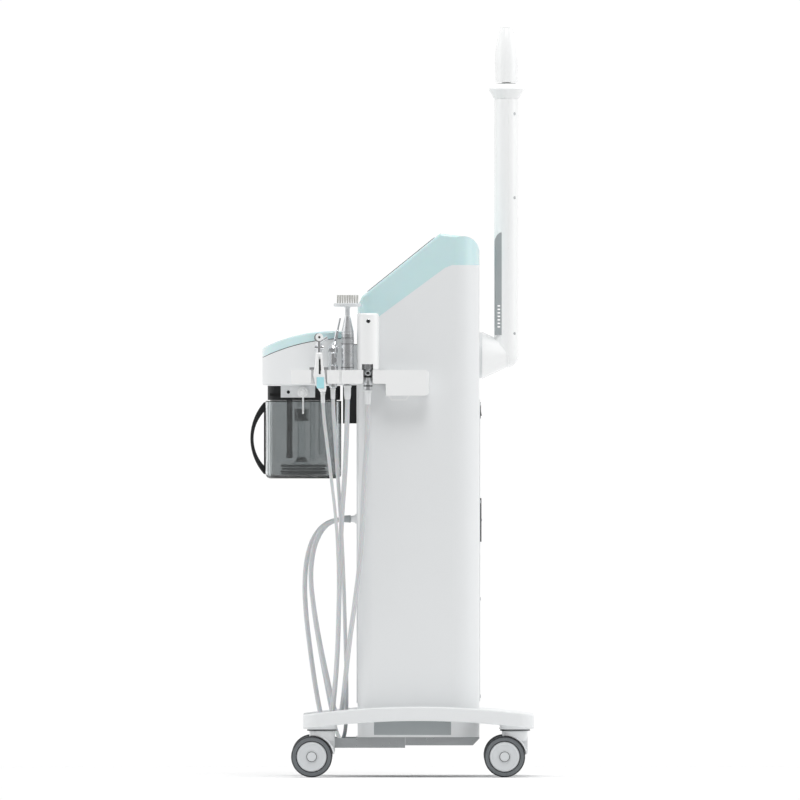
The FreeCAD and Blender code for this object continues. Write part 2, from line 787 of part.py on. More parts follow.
def mains_inlet():
    """A fused mains inlet with a deep three-pin socket."""
    owner = body("mains_inlet")
    half, low, high = "(inlet_width / 2)", "inlet_bottom", "(inlet_bottom + inlet_height)"
    flange = sketch(owner, "YZ", REAR_FACE)
    rectangle(flange, f"-{half}", low, half, high)
    pad(owner, flange, "2.5")
    case = sketch(owner, "YZ", REAR_FACE)
    rectangle(case, f"5 - {half}", f"{low} + 5", f"{half} - 5", f"{high} - 5")
    pad(owner, case, "26", flip=True)
    socket = sketch(owner, "YZ", f"{REAR_FACE} + 2.5")
    rectangle(socket, "-12.2", f"{low} + 12", "12.2", f"{low} + 29")
    pocket(owner, socket, "18")
    fuse = sketch(owner, "YZ", f"{REAR_FACE} + 2.5")
    rectangle(fuse, "-11", f"{low} + 44", "11", f"{low} + 62")
    pocket(owner, fuse, "1.2")
    pins_made = [rod(f"pin_{i}", "1.6", "15.5", f"{REAR_FACE} - 15.7", y, f"{low} + {z}", *ALONG_X)
                 for i, (y, z) in enumerate((("-7", 18.5), ("7", 18.5), ("0", 22.5)))]
    return keep("mains_inlet", join("mains_inlet", owner, *pins_made))


ROCKER_PIVOT = f"({COLUMN_REAR} - 4)"


def power_switch():
    """The switch's bezel and open case, with a bearing hole in each cheek."""
    owner = body("power_switch")
    half, tall = "(switch_width / 2)", "(switch_height / 2)"
    bezel = sketch(owner, "YZ", REAR_FACE)
    rectangle(bezel, f"-{half} - 1.5", f"switch_level - {tall} - 1.5", f"{half} + 1.5", f"switch_level + {tall} + 1.5")
    pad(owner, bezel, "1.2")
    case = sketch(owner, "YZ", REAR_FACE)
    rectangle(case, f"-{half}", f"switch_level - {tall}", half, f"switch_level + {tall}")
    pad(owner, case, "22", flip=True)
    well = sketch(owner, "YZ", f"{REAR_FACE} + 1.2")
    wide, high = "(rocker_width / 2 + fit_gap)", "(rocker_height / 2 + 1.6)"
    rectangle(well, f"-{wide}", f"switch_level - {high}", wide, f"switch_level + {high}")
    pocket(owner, well, "18")
    bearing = circle(sketch(owner, "XZ"), ROCKER_PIVOT, "switch_level", "1.6")
    pocket(owner, bearing, "rocker_width + 2.4", midplane=True)
    return keep("power_switch", owner)


def power_rocker():
    """The rocker, whose two facets meet over its pins."""
    owner = body("power_rocker")
    side = sketch(owner, "XZ")
    face, tall = f"({COLUMN_REAR} + 3)", "(rocker_height / 2)"
    outline(side, [
        (f"{COLUMN_REAR} - 9", "switch_level - 6"),
        (f"{face} + 1.6", f"switch_level - {tall}"),
        (face, "switch_level"),
        (f"{face} + 0.2", f"switch_level + {tall}"),
        (f"{COLUMN_REAR} - 9", "switch_level + 6"),
    ])
    pad(owner, side, "rocker_width", midplane=True)
    pin = circle(sketch(owner, "XZ"), ROCKER_PIVOT, "switch_level", "1.5")
    pad(owner, pin, "rocker_width + 2", midplane=True)
    return keep("power_rocker", owner)


# ---------------------------------------------------------------- inside the column

def column_frame():
    """The welded frame inside: a foot plate, two posts and two shelves."""
    x0, x1 = f"{COLUMN_FRONT} + 12", f"{COLUMN_REAR} - 12"
    half = f"({COLUMN_SIDE} - 46)"
    made = [block("foot_plate", x0, x1, f"-{half}", half, "column_foot", "column_foot + 5")]
    for i, height in enumerate((300, 560)):
        made.append(block(f"shelf_{i}", x0, x1, f"-{half}", half, f"{height}", f"{height} + 3"))
    for i, sign in enumerate("-+"):
        middle = f"({sign}({half} - 13))"
        made.append(block(f"post_{i}", f"{COLUMN_REAR} - 62", f"{COLUMN_REAR} - 37", f"{middle} - 12.5",
                          f"{middle} + 12.5", "column_foot + 5", "720"))
    return keep("column_frame", join("column_frame", *made))


def vacuum_pump():
    """The suction pump on the foot plate: a motor barrel between two diaphragm heads."""
    floor = "(column_foot + 5)"
    middle = f"({COLUMN_FRONT} + 80)"
    barrel = rod("pump_barrel", "34", "90", middle, "-45", f"{floor} + 44", *ALONG_Y)
    heads = [block(f"pump_head_{i}", f"{middle} - 30", f"{middle} + 30", y, f"{y} + 28", floor, f"{floor} + 96")
             for i, y in enumerate(("-73", "45"))]
    feet = block("pump_foot", f"{middle} - 38", f"{middle} + 38", "-60", "60", floor, f"{floor} + 8")
    return keep("vacuum_pump", join("vacuum_pump", barrel, feet, *heads))


def air_compressor():
    """The compressor on the lower shelf, which feeds the spray handpieces."""
    floor = "303"
    middle = f"({COLUMN_FRONT} + 85)"
    case = block("compressor_case", f"{middle} - 42", f"{middle} + 42", "-65", "35", floor, f"{floor} + 92")
    tank = rod("compressor_tank", "24", "90", middle, "68", f"{floor}")
    pipe = rod("compressor_pipe", "4", "24", middle, "30", f"{floor} + 70", *ALONG_Y)
    return keep("air_compressor", join("air_compressor", case, tank, pipe))


def electronics_module():
    """The tray on the upper shelf that carries the power supply and the control board."""
    floor = "563"
    x0 = f"({COLUMN_FRONT} + 35)"
    tray = block("tray", x0, f"{x0} + 95", "-95", "95", floor, f"{floor} + 2")
    supply = block("supply", f"{x0} + 6", f"{x0} + 88", "-88", "10", f"{floor} + 2", f"{floor} + 42")
    board = block("board", f"{x0} + 6", f"{x0} + 88", "20", "90", f"{floor} + 8", f"{floor} + 10")
    posts = [rod(f"post_{i}", "3", "6", f"{x0} + {dx}", dy, f"{floor} + 2")
             for i, (dx, dy) in enumerate(((12, "26"), (82, "26"), (12, "84"), (82, "84")))]
    return keep("electronics_module", join("electronics_module", tray, supply, board, *posts))


# ---------------------------------------------------------------- bottle housing

def housing_plan(made, inset):
    """A flat back, straight sides and a bowed front."""
    side = f"(housing_width / 2 - {inset})"
    turn = f"({COLUMN_FRONT} - housing_straight)"
    back = f"({COLUMN_FRONT} - {inset})"
    points = [(turn, f"-{side}"), (back, f"-{side}"), (back, side), (turn, side)]
    return outline(made, points, {3: (f"{HOUSING_FRONT} + {inset}", "0")})


def crown(lift, rear_lift, far):
    """An outline between the housing's bowed top line, lifted, and a level line."""
    low = "housing_floor"
    points = [
        (HOUSING_FRONT, f"{low} + housing_front_height + {lift}"),
        (COLUMN_FRONT, f"{low} + housing_rear_height + {rear_lift}"),
        (f"{COLUMN_FRONT} + 20", f"{low} + housing_rear_height + {rear_lift}"),
        (f"{COLUMN_FRONT} + 20", far),
        (f"{HOUSING_FRONT} - 20", far),
        (f"{HOUSING_FRONT} - 20", f"{low} + housing_front_height + {lift}"),
    ]
    through = (f"{HOUSING_FRONT} + housing_mid_run", f"{low} + housing_mid_height + {lift}")
    return points, {0: through}


HINGE_X = f"({COLUMN_FRONT} - hinge_setback)"
HINGE_Z = "(housing_floor + hinge_level)"


def bottle_housing():
    """The open box that holds the solution bottles, with two hinge posts inside its back corners."""
    owner = body("bottle_housing")
    pad(owner, housing_plan(sketch(owner, "XY", "housing_floor"), "0"), "housing_rear_height + 30")
    points, arc = crown("0", "0", "housing_floor + housing_rear_height + 40")
    pocket(owner, outline(sketch(owner, "XZ"), points, arc), None, midplane=True)
    soften(owner, "3", level(number("housing_floor")))
    inside = housing_plan(sketch(owner, "XY", "housing_floor + housing_wall"), "housing_wall")
    pocket(owner, inside, None, flip=True)
    notch = sketch(owner, "XZ")
    rectangle(notch, f"{HINGE_X} - 5", f"{HINGE_Z} - 12.5", f"{COLUMN_FRONT} + 5", f"{HINGE_Z} + 30")
    pocket(owner, notch, None, midplane=True)
    posts = []
    for i, y in enumerate(("housing_width / 2 - housing_wall - 5", "housing_wall - housing_width / 2")):
        stand = block(f"hinge_stand_{i}", f"{HINGE_X} - 4", f"{HINGE_X} + 4", y, f"{y} + 5", f"{HINGE_Z} - 26", HINGE_Z)
        eye = rod(f"hinge_eye_{i}", "4", "5", HINGE_X, y, HINGE_Z, *ALONG_Y)
        posts += [stand, eye]
    bore = rod("hinge_bore", "hinge_pin_radius + 0.15", "housing_width", HINGE_X, "-housing_width / 2", HINGE_Z, *ALONG_Y)
    posts = cut("hinge_posts", join("hinge_posts", *posts), bore)
    return keep("bottle_housing", join("bottle_housing", owner, posts))


def lid_block(name, inset, low, high, rear_high):
    """The space between the crown line at two lifts, inside the housing's plan."""
    owner = body(name)
    plan = housing_plan(sketch(owner, "XY", "housing_floor + 20"), inset)
    pad(owner, plan, "housing_rear_height + 40")
    for lift, rear_lift, far in ((high, rear_high, "housing_floor + housing_rear_height + 90"),
                                 (low, low, "housing_floor - 20")):
        points, arc = crown(lift, rear_lift, far)
        pocket(owner, outline(sketch(owner, "XZ"), points, arc), None, midplane=True)
    return owner


def bottle_lid():
    """The tinted lid, hollow below and open at its back edge, with a pin in each side wall."""
    shell = lid_block("lid_shell", "0", "lid_gap", "(lid_gap + lid_height)", "(lid_gap + lid_rear_height)")

    def top_rim(edge):
        box = edge.BoundBox
        if upright(edge) or box.XMin > number(COLUMN_FRONT) - 0.1:
            return False
        floor = number("housing_floor + lid_gap + lid_height")
        return box.ZMax > floor + number("housing_front_height") - 0.5 and edge.Length > 30 and is_upper(edge, shell)

    soften(shell, "4", top_rim)
    hollow = lid_block("lid_hollow", "lid_wall", "(lid_gap - 5)", "(lid_gap + lid_height - lid_wall)",
                       "(lid_gap + lid_rear_height - lid_wall)")
    trim = block("lid_trim", f"{COLUMN_FRONT} - lid_clearance", f"{COLUMN_FRONT} + 30", "-housing_width",
                 "housing_width", "housing_floor", "housing_floor + 200")
    made = cut("bottle_lid", shell, hollow, trim)
    length = "(housing_wall + 5 - lid_wall + 1)"
    pin_ends = [rod(f"lid_pin_{i}", "hinge_pin_radius", length, HINGE_X, y, HINGE_Z, *ALONG_Y)
                for i, y in enumerate(("lid_wall - 1 - housing_width / 2", f"housing_width / 2 - lid_wall + 1 - {length}"))]
    return keep("bottle_lid", join("bottle_lid", made, *pin_ends))


def is_upper(edge, owner):
    """Whether an edge lies on the top of the shape: nothing of the shape stands just above its middle."""
    middle = edge.valueAt((edge.FirstParameter + edge.LastParameter) / 2)
    inward = VECTOR(number(f"{COLUMN_FRONT} - 60") - middle.x, -middle.y, 0).normalize() * 2
    return not owner.Tip.Shape.isInside(middle + inward + VECTOR(0, 0, 3), 0.01, True)


def solution_bottles():
    """Three capped bottles that stand in the housing."""
    made = []
    for i, (dx, y) in enumerate(((62, "-68"), (78, "0"), (62, "68"))):
        bottle = turned(f"bottle_{i}", [
            ("0", "0"),
            ("bottle_radius - 2", "0"),
            ("bottle_radius", "2"),
            ("bottle_radius", "bottle_height - 18"),
            ("14", "bottle_height - 12"),
            ("14", "bottle_height"),
            ("0", "bottle_height"),
        ], {3: ("bottle_radius - 2.5", "bottle_height - 13.5")})
        made.append(put(bottle, f"{COLUMN_FRONT} - {dx}", y, "housing_floor + housing_wall"))
    return keep("solution_bottles", group("solution_bottles", *made))


# ---------------------------------------------------------------- waste jar

LID_BOTTOM = "(sleeve_top + 2)"
LID_HALF = "(sleeve_width / 2 - 4)"
GROOVE_LOW = f"({LID_BOTTOM} + 7.5)"


def rounded_tub(name, inset, floor, top, wall, corner):
    """An open tub with rounded upright corners and a softened floor."""
    owner = body(name)
    x0, x1 = f"({SLEEVE_FRONT} + {inset})", f"({SLEEVE_REAR} - {inset})"
    half = f"(sleeve_width / 2 - {inset})"
    pad(owner, rounded_plan(sketch(owner, "XY", floor), x0, x1, half, corner, corner), f"{top} - ({floor})")
    soften(owner, "9", level(number(floor)))
    inner = sketch(owner, "XY", f"{floor} + {wall}")
    rounded_plan(inner, f"({x0} + {wall})", f"({x1} - {wall})", f"({half} - {wall})", f"({corner} - {wall})",
                 f"({corner} - {wall})")
    pocket(owner, inner, None, flip=True)
    return owner


def jar_sleeve():
    """The clear carrier that the jar stands in."""
    return keep("jar_sleeve", rounded_tub("jar_sleeve", "0", "sleeve_floor", "sleeve_top", "sleeve_wall",
                                          "sleeve_corner"))


def waste_jar():
    """The smoked jar, whose floor stands on the sleeve's floor."""
    return keep("waste_jar", rounded_tub("waste_jar", "jar_margin", "(sleeve_floor + sleeve_wall)", LID_BOTTOM,
                                         "jar_wall", "(sleeve_corner - 6)"))


def jar_lid():
    """The jar's dark lid, hollow below and grooved along both sides for the carrier's lips."""
    owner = body("jar_lid")
    plan = sketch(owner, "XY", LID_BOTTOM)
    rounded_plan(plan, f"({SLEEVE_FRONT} + 4)", f"({SLEEVE_REAR} - 2)", LID_HALF, "14", "14")
    pad(owner, plan, "jar_lid_height")
    for sign in ("-", ""):
        side = sketch(owner, "YZ", SLEEVE_FRONT)
        edge, deep = f"{sign}({LID_HALF} + 1)", f"{sign}({LID_HALF} - groove_depth)"
        rectangle(side, edge, GROOVE_LOW, deep, f"{GROOVE_LOW} + groove_height")
        pocket(owner, side, None, flip=True)
    hollow = sketch(owner, "XY", LID_BOTTOM)
    rounded_plan(hollow, f"({SLEEVE_FRONT} + 16)", f"({SLEEVE_REAR} - 14)", f"({LID_HALF} - 12)", "10", "10")
    pocket(owner, hollow, "jar_lid_height - 4", flip=True)
    return keep("jar_lid", owner)


def jar_pipes():
    """The suction pipes and the float's guide, which hang from the lid's roof."""
    roof = f"({LID_BOTTOM} + jar_lid_height - 4)"
    floor = "(sleeve_floor + sleeve_wall + jar_wall)"
    middle = f"({SLEEVE_FRONT} + sleeve_length / 2)"
    pipes = []
    for i, (dx, radius, lift) in enumerate(((-25.5, 6, 32), (16.5, 4.5, 26), (32.5, 4.5, 40))):
        pipes.append(rod(f"dip_pipe_{i}", str(radius), f"{roof} - {floor} - {lift}", f"{middle} + {dx}",
                         "0", f"{floor} + {lift}"))
    pipes.append(put(turned("float_guide", [
        ("0", "16"),
        ("18", "16"),
        ("18", "20"),
        ("7", "34"),
        ("7", "96"),
        ("13", "96"),
        ("13", "118"),
        ("4", "118"),
        ("4", f"{roof} - {floor}"),
        ("0", f"{roof} - {floor}"),
    ]), f"{middle} - 3.5", "0", floor))
    return keep("jar_pipes", group("jar_pipes", *pipes))


def jar_handle():
    """A bowed grip on the front of the sleeve, with a gap behind it for the fingers."""
    owner = body("jar_handle")
    tip = f"({BASE_FRONT} - front_reach)"
    high, low = "(sleeve_top - 2)", "(sleeve_floor + 8)"
    middle = f"(({high} + {low}) / 2)"
    side = sketch(owner, "XZ")
    outline(side, [
        (SLEEVE_FRONT, high),
        (SLEEVE_FRONT, low),
        (f"{SLEEVE_FRONT} - 3", low),
        (f"{SLEEVE_FRONT} - 3", high),
    ], {2: (tip, middle)})
    outline(side, [
        (f"{SLEEVE_FRONT} - 3", f"{high} - 18"),
        (f"{SLEEVE_FRONT} - 3", f"{low} + 16"),
    ], {0: (f"{tip} + handle_grip", middle)})
    pad(owner, side, "handle_width", midplane=True)

    soften(owner, "2.2", lambda e: e.BoundBox.YLength < 0.01 and e.BoundBox.XMin < number(tip) + 0.1)
    return keep("jar_handle", owner)


def jar_carrier():
    """Two white cheeks below the housing, whose lips run in the jar lid's grooves."""
    x0 = f"({SLEEVE_FRONT} + 28)"
    x1 = f"({x0} + carrier_length)"
    near, far = f"({LID_HALF} + fit_gap)", f"({LID_HALF} + fit_gap + carrier_thickness)"
    lip = f"({LID_HALF} - groove_depth + fit_gap + 0.2)"
    made = []
    for name, sign in (("left", "+"), ("right", "-")):
        cheek = body(f"cheek_{name}")
        side = sketch(cheek, "YZ", x0)
        outline(side, [
            (f"{sign}{near}", "housing_floor"),
            (f"{sign}{near}", f"{GROOVE_LOW} + groove_height - 0.5"),
            (f"{sign}{lip}", f"{GROOVE_LOW} + groove_height - 0.5"),
            (f"{sign}{lip}", f"{GROOVE_LOW} + 0.5"),
            (f"{sign}{near}", f"{GROOVE_LOW} + 0.5"),
            (f"{sign}{near}", "housing_floor - carrier_drop"),
            (f"{sign}{far}", "housing_floor - carrier_drop"),
            (f"{sign}{far}", "housing_floor"),
        ])
        pad(cheek, side, "carrier_length")
        made.append(cheek)
    boss = rod("latch_pin", "3", "2 + carrier_thickness", f"{x0} + 41", f"-{far} - 2", f"housing_floor - 12.5", *ALONG_Y)
    hole = rod("cheek_screw_hole", "2.4", "3", f"{x0} + 14", f"-{far} - 1", "housing_floor - 12.5", *ALONG_Y)
    made[1] = cut("cheek_right", join("cheek_right", made[1], boss), hole)
    return keep("jar_carrier", group("jar_carrier", *made))


def latch_lever():
    """A round cam with a lever that hangs down, on the near cheek's pin."""
    x = f"({SLEEVE_FRONT} + 69)"
    y = f"(-{LID_HALF} - 2 * fit_gap - carrier_thickness)"
    z = "(housing_floor - 12.5)"
    cam = turned("latch_cam", [
        ("3.05", "0"),
        ("latch_radius", "0"),
        ("latch_radius", "4"),
        ("latch_radius - 1.5", "5.5"),
        ("6", "5.5"),
        ("4.6", "8"),
        ("0", "9"),
        ("0", "2.4"),
        ("3.05", "2.4"),
    ])
    put(cam, x, y, z, (1, 0, 0), "90")
    stem = rod("latch_stem", "1.6", "34", x, f"{y} - 2.2", f"{z} - 40")
    return keep("latch_lever", join("latch_lever", cam, stem))


def jar_backplate():
    """The dark bracket between the jar and the column."""
    made = block("jar_backplate", f"{SLEEVE_REAR} + 3", PANEL_FACE, "-56", "56", "housing_floor - 70",
                 "housing_floor")
    return keep("jar_backplate", made)


# ---------------------------------------------------------------- handpiece holder

def handpiece_holder():
    """The side rail with two open slots and two bores, its mounting block and a wire hook below the block."""
    owner = body("handpiece_holder")
    x_start, x_block = f"({COLUMN_FRONT} - rail_start)", f"({COLUMN_FRONT} + block_start)"
    x_end = f"({x_block} + block_length)"
    side = sketch(owner, "XZ", f"-{RAIL_BACK}")
    outline(side, [
        (x_start, "rail_bottom"),
        (x_block, "rail_bottom"),
        (x_block, "rail_top - block_drop"),
        (x_end, "rail_top - block_drop"),
        (x_end, "rail_top"),
        (x_start, "rail_top"),
    ])
    pad(owner, side, "rail_depth")
    foot = sketch(owner, "XZ", f"-{RAIL_BACK}")
    rectangle(foot, x_block, "rail_top - block_drop", x_end, "rail_top")
    pad(owner, foot, "rail_near", flip=True)
    plan = sketch(owner, "XY", "rail_top")
    for place, width, depth in (("gun_place", "gun_slot_width", "26"), ("wand_place", "wand_slot_width", "30")):
        middle = f"({COLUMN_FRONT} - {place})"
        rectangle(plan, f"{middle} - {width} / 2", f"{RAIL_FRONT} - 1", f"{middle} + {width} / 2",
                  f"{RAIL_FRONT} + {depth}")
    middle = f"({COLUMN_FRONT} - (jet_place + pen_place) / 2)"
    rectangle(plan, f"{middle} - 2.2", f"{RAIL_FRONT} - 1", f"{middle} + 2.2", f"{RAIL_FRONT} + 6")
    circle(plan, f"{COLUMN_FRONT} - pen_place", HANDPIECE_Y, "pen_shank_radius + fit_gap")
    circle(plan, f"{COLUMN_FRONT} - jet_place", HANDPIECE_Y, "jet_shank_radius + fit_gap")
    pocket(owner, plan, None)

    def finger_corner(edge):
        box = edge.BoundBox
        along_y = box.YLength > 5 and box.XLength < 0.01 and box.ZLength < 0.01
        low = abs(box.ZMin - number("rail_bottom")) < 0.1
        reaches = box.YMin < number(RAIL_FRONT) + 0.1
        return along_y and low and reaches and box.XMax < number(x_block) - 1

    soften(owner, "4", finger_corner)

    def front_upright(edge):
        box = edge.BoundBox
        return upright(edge) and box.YMin < number(RAIL_FRONT) + 0.1

    soften(owner, "1.5", front_upright)
    hook = body("cable_hook")
    loop = sketch(hook, "XZ", f"-({RAIL_FRONT} + 12)")
    top = "(rail_top - block_drop)"
    left, right = f"({x_block} + 4)", f"({x_block} + 44)"
    outline(loop, [
        (left, top), (f"{left} + 6", f"{top} - 9"), (f"{right} - 6", f"{top} - 9"), (right, top),
        (f"{right} - 3", top), (f"{right} - 8", f"{top} - 6.5"), (f"{left} + 8", f"{top} - 6.5"), (f"{left} + 3", top),
    ])
    pad(hook, loop, "3", midplane=True)
    return keep("handpiece_holder", group("handpiece_holder", owner, hook))


# ---------------------------------------------------------------- handpieces

def gun_grip():
    """The spray gun's white handle, a flat leaning shape with a blunt lower end."""
    owner = body("gun_grip")
    side = sketch(owner, "XZ")
    outline(side, [
        ("-6", "32"), ("6", "32"), ("8", "9"), ("12", "-14"), ("13.5", "-34"), ("12", "-40.5"),
        ("2", "-40.5"), ("-7", "-28"), ("-11", "-10"), ("-7.5", "10"),
    ])
    pad(owner, side, "24", midplane=True)
    soften(owner, "4", lambda e: e.BoundBox.YLength < 0.01)
    hollow = sketch(owner, "XZ", "12")
    rectangle(hollow, "-4.5", "-34", "9.5", "-13")
    pocket(owner, hollow, "5.5")
    groove = sketch(owner, "XZ", "12")
    outline(groove, [("1", "0"), ("4", "-1"), ("2", "24"), ("-0.5", "24")])
    pocket(owner, groove, "2.5")
    put(owner, f"{COLUMN_FRONT} - gun_place", f"{HANDPIECE_Y} - 5", "rail_top")
    return keep("gun_grip", owner)


def gun_head():
    """The gun's metal head: a spray barrel across the top, an air valve below it and the bar that it hangs by."""
    x, y = f"({COLUMN_FRONT} - gun_place)", f"({HANDPIECE_Y} - 5)"
    barrel = rod("gun_barrel", "6.5", "30", f"{x} - 1", f"{y} - 17", "rail_top + 59", *ALONG_Y)
    cap = rod("gun_cap", "8", "7", f"{x} - 1", f"{y} - 20", "rail_top + 59", *ALONG_Y)
    neck = rod("gun_neck", "5", "26", x, y, "rail_top + 32")
    valve = rod("gun_valve", "4.5", "16", f"{x} - 8", y, "rail_top + 41", *ALONG_X)
    tail = rod("gun_tail", "3.2", "14", f"{x} + 3", f"{y} + 3", "rail_top + 52", (0, 1, 0), "60")
    bar = block("gun_bar", f"{COLUMN_FRONT} - gun_place - gun_slot_width / 2 - 3",
                f"{COLUMN_FRONT} - gun_place + gun_slot_width / 2 + 3", f"{y} + 12", f"{y} + 15.5",
                "rail_top + fit_gap", "rail_top + 5")
    strut = block("gun_strut", f"{x} - 3", f"{x} + 3", f"{y} + 3", f"{y} + 15.5", "rail_top + 33", "rail_top + 37")
    riser = block("gun_riser", f"{x} - 3", f"{x} + 3", f"{y} + 12", f"{y} + 15.5", "rail_top + 3", "rail_top + 37")
    bore = rod("gun_bore", "3", "8", f"{x} - 1", f"{y} - 21", "rail_top + 59", *ALONG_Y)
    made = join("gun_head", barrel, cap, neck, valve, tail, bar, strut, riser)
    return keep("gun_head", cut("gun_head", made, bore))


def gun_trigger():
    """The aqua push pad in the front of the grip."""
    owner = body("gun_trigger")
    pad_face = sketch(owner, "XZ", "13.2")
    rectangle(pad_face, "-4.2", "-33.7", "9.2", "-13.3")
    pad(owner, pad_face, "3.8", flip=True)
    soften(owner, "1.5", lambda e: e.BoundBox.YLength < 0.01 and e.BoundBox.YMin < -13)
    put(owner, f"{COLUMN_FRONT} - gun_place", f"{HANDPIECE_Y} - 5", "rail_top")
    return keep("gun_trigger", owner)


def jet_injector():
    """The slim injector: a shouldered body in a bore of the rail, a dark valve knob and a leaning lance."""
    x, z = f"({COLUMN_FRONT} - jet_place)", "rail_top"
    core = put(turned("jet_core", [
        ("0", "-33"), ("jet_shank_radius - 2", "-33"), ("jet_shank_radius", "-31"), ("jet_shank_radius", "fit_gap"),
        ("9.5", "fit_gap"), ("9.5", "7"), ("7", "10"), ("7", "30"), ("9", "33"), ("9", "40"), ("6", "45"), ("0", "45"),
    ]), x, HANDPIECE_Y, z)
    lance = turned("jet_lance", [
        ("0", "0"), ("5.5", "0"), ("5.5", "9"), ("3.2", "14"), ("3.2", "34"), ("1.9", "36"), ("1.9", "58"), ("0", "58"),
    ])
    put(lance, f"{x} + 1", HANDPIECE_Y, f"{z} + 38", (0, 1, 0), "12")
    knob = rod("jet_knob", "5", "9", f"{x} + 2", f"{HANDPIECE_Y} - 14", f"{z} + 18", *ALONG_Y)
    wing = rod("jet_wing", "3", "11.5", f"{x} + 1", HANDPIECE_Y, f"{z} + 36", (0, 1, 0), "55")
    ring = rod("jet_ring", "4.2", "6", f"{x} - 2", f"{HANDPIECE_Y} - 12", f"{z} + 36.5", *ALONG_Y)
    return keep("jet_injector", join("jet_injector", core, lance, knob, wing, ring))


def pen_body():
    """The rotary brush pen: a tapered barrel above a shank that drops into the rail's bore."""
    owner = turned("pen_body", [
        ("0", "-28"), ("pen_shank_radius - 4", "-28"), ("pen_shank_radius - 1.8", "-27"),
        ("pen_shank_radius - 1.8", "-20.5"), ("pen_shank_radius", "-20"), ("pen_shank_radius", "fit_gap"),
        ("pen_radius", "fit_gap"), ("pen_radius", "66"), ("pen_radius - 0.6", "68"), ("pen_radius - 0.4", "70"),
        ("5", "98"), ("3", "98.5"), ("0", "98.5"),
    ])
    put(owner, f"{COLUMN_FRONT} - pen_place", HANDPIECE_Y, "rail_top")
    return keep("pen_body", owner)


def brush_hub():
    """The brush's drive stem and its round plate."""
    owner = turned("brush_hub", [
        ("0", "0"), ("4.2", "0"), ("4.2", "14"), ("6", "16.5"), ("brush_radius - 2", "17"),
        ("brush_radius", "19"), ("brush_radius", "22"), ("brush_radius - 1", "23"), ("0", "23"),
    ])
    put(owner, f"{COLUMN_FRONT} - pen_place", HANDPIECE_Y, "rail_top + 99")
    return keep("brush_hub", owner)


def brush_bristles():
    """The space that the bristles fill."""
    made = rod("bristles", "bristle_radius", "bristle_length", f"{COLUMN_FRONT} - pen_place", HANDPIECE_Y,
               "rail_top + 122")
    return keep("brush_bristles", made)


def wand_body():
    """The white cooling wand: a plain barrel with a small port near its top and a notch at its foot."""
    owner = turned("wand_body", [
        ("0", "wand_height"), ("0", "12"), ("wand_radius - 3", "12"), ("wand_radius - 3", "fit_gap"),
        ("wand_radius - 0.8", "fit_gap"), ("wand_radius", "1.5"), ("wand_radius", "wand_height - 4"),
        ("wand_radius - 4", "wand_height"),
    ], {6: ("wand_radius - 1.2", "wand_height - 1.2")})
    port = circle(sketch(owner, "XZ", "wand_radius + 1"), "0.6", "wand_height - 15", "4")
    pocket(owner, port, "5")
    notch = sketch(owner, "XZ", "wand_radius + 1")
    rectangle(notch, "-11", "-1", "9.5", "10.5")
    pocket(owner, notch, "wand_radius")
    put(owner, f"{COLUMN_FRONT} - wand_place", HANDPIECE_Y, "rail_top")
    return keep("wand_body", owner)


def wand_connector():
    """The metal quick coupling below the wand, which hangs through the rail's open slot."""
    owner = turned("wand_connector", [
        ("0", "-37"), ("5.5", "-37"), ("7.5", "-36"), ("7.5", "-30"), ("8", "-29"), ("7.6", "-20"), ("5.5", "-14"),
        ("5.5", "-11"), ("7", "-9"), ("7", "-3"), ("5.5", "-1"), ("5.5", "1"), ("10.5", "1"), ("10.5", "11.5"),
        ("5", "12"), ("0", "12"),
    ])
    put(owner, f"{COLUMN_FRONT} - wand_place", HANDPIECE_Y, "rail_top")
    return keep("wand_connector", owner)


# ---------------------------------------------------------------- mist arm

SPINE_BACK = f"({ARM_X} - arm_radius + spine_depth + 0.7)"
SPINE_LOW = "(arm_height + spine_foot)"
SPINE_HIGH = f"({SPINE_LOW} + spine_length)"
ELBOW_FACE = f"({COLUMN_REAR} + flange_thickness + fit_gap)"


def arm_mount():
    """The fixed flange on the column's back, with the journal that the arm turns on."""
    made = turned("arm_mount", [
        ("0", "-14"), ("pivot_radius + 6", "-14"), ("pivot_radius + 6", "-column_wall - fit_gap"),
        ("pivot_radius", "-column_wall - fit_gap"), ("pivot_radius", "0"), ("elbow_radius - 1.5", "0"),
        ("elbow_radius - 1.5", "flange_thickness"), ("pivot_radius", "flange_thickness"),
        ("pivot_radius", "flange_thickness + 14"), ("0", "flange_thickness + 14"),
    ])
    return keep("arm_mount", put(made, COLUMN_REAR, "0", "arm_height", *ALONG_X))


def arm_solid(name, less):
    """The arm's outline, a cone that runs into an upright round arm, everywhere less by a wall."""
    reach = f"({ARM_X} - {ELBOW_FACE})"
    small = f"(arm_radius - {less})"
    elbow = turned(f"{name}_elbow", [
        ("0", less), (f"elbow_radius - {less} * 1.3", less), (small, reach), ("0", f"{reach} + {small}"),
    ], {2: (f"{small} * cos(45)", f"{reach} + {small} * sin(45)")})
    put(elbow, ELBOW_FACE, "0", "arm_height", *ALONG_X)
    tube = rod(f"{name}_tube", small, "arm_top - arm_height", ARM_X, "0", "arm_height")
    return join(name, elbow, tube)


def spine_block(name, grow, width):
    """The spine's outline, with its top and front grown by a little."""
    owner = body(name)
    front, high = f"({SPINE_BACK} - spine_depth - {grow})", f"({SPINE_HIGH} + {grow})"
    outline(sketch(owner, "XZ"), [
        (front, f"{SPINE_LOW} - {grow}"),
        (SPINE_BACK, f"{SPINE_LOW} - {grow}"),
        (SPINE_BACK, high),
        (f"{SPINE_BACK} - 3", high),
        (front, f"{high} - 22"),
    ], {3: (f"{front} + 2.4", f"{high} - 8")})
    pad(owner, owner.Group[-1], width, midplane=True)
    return owner


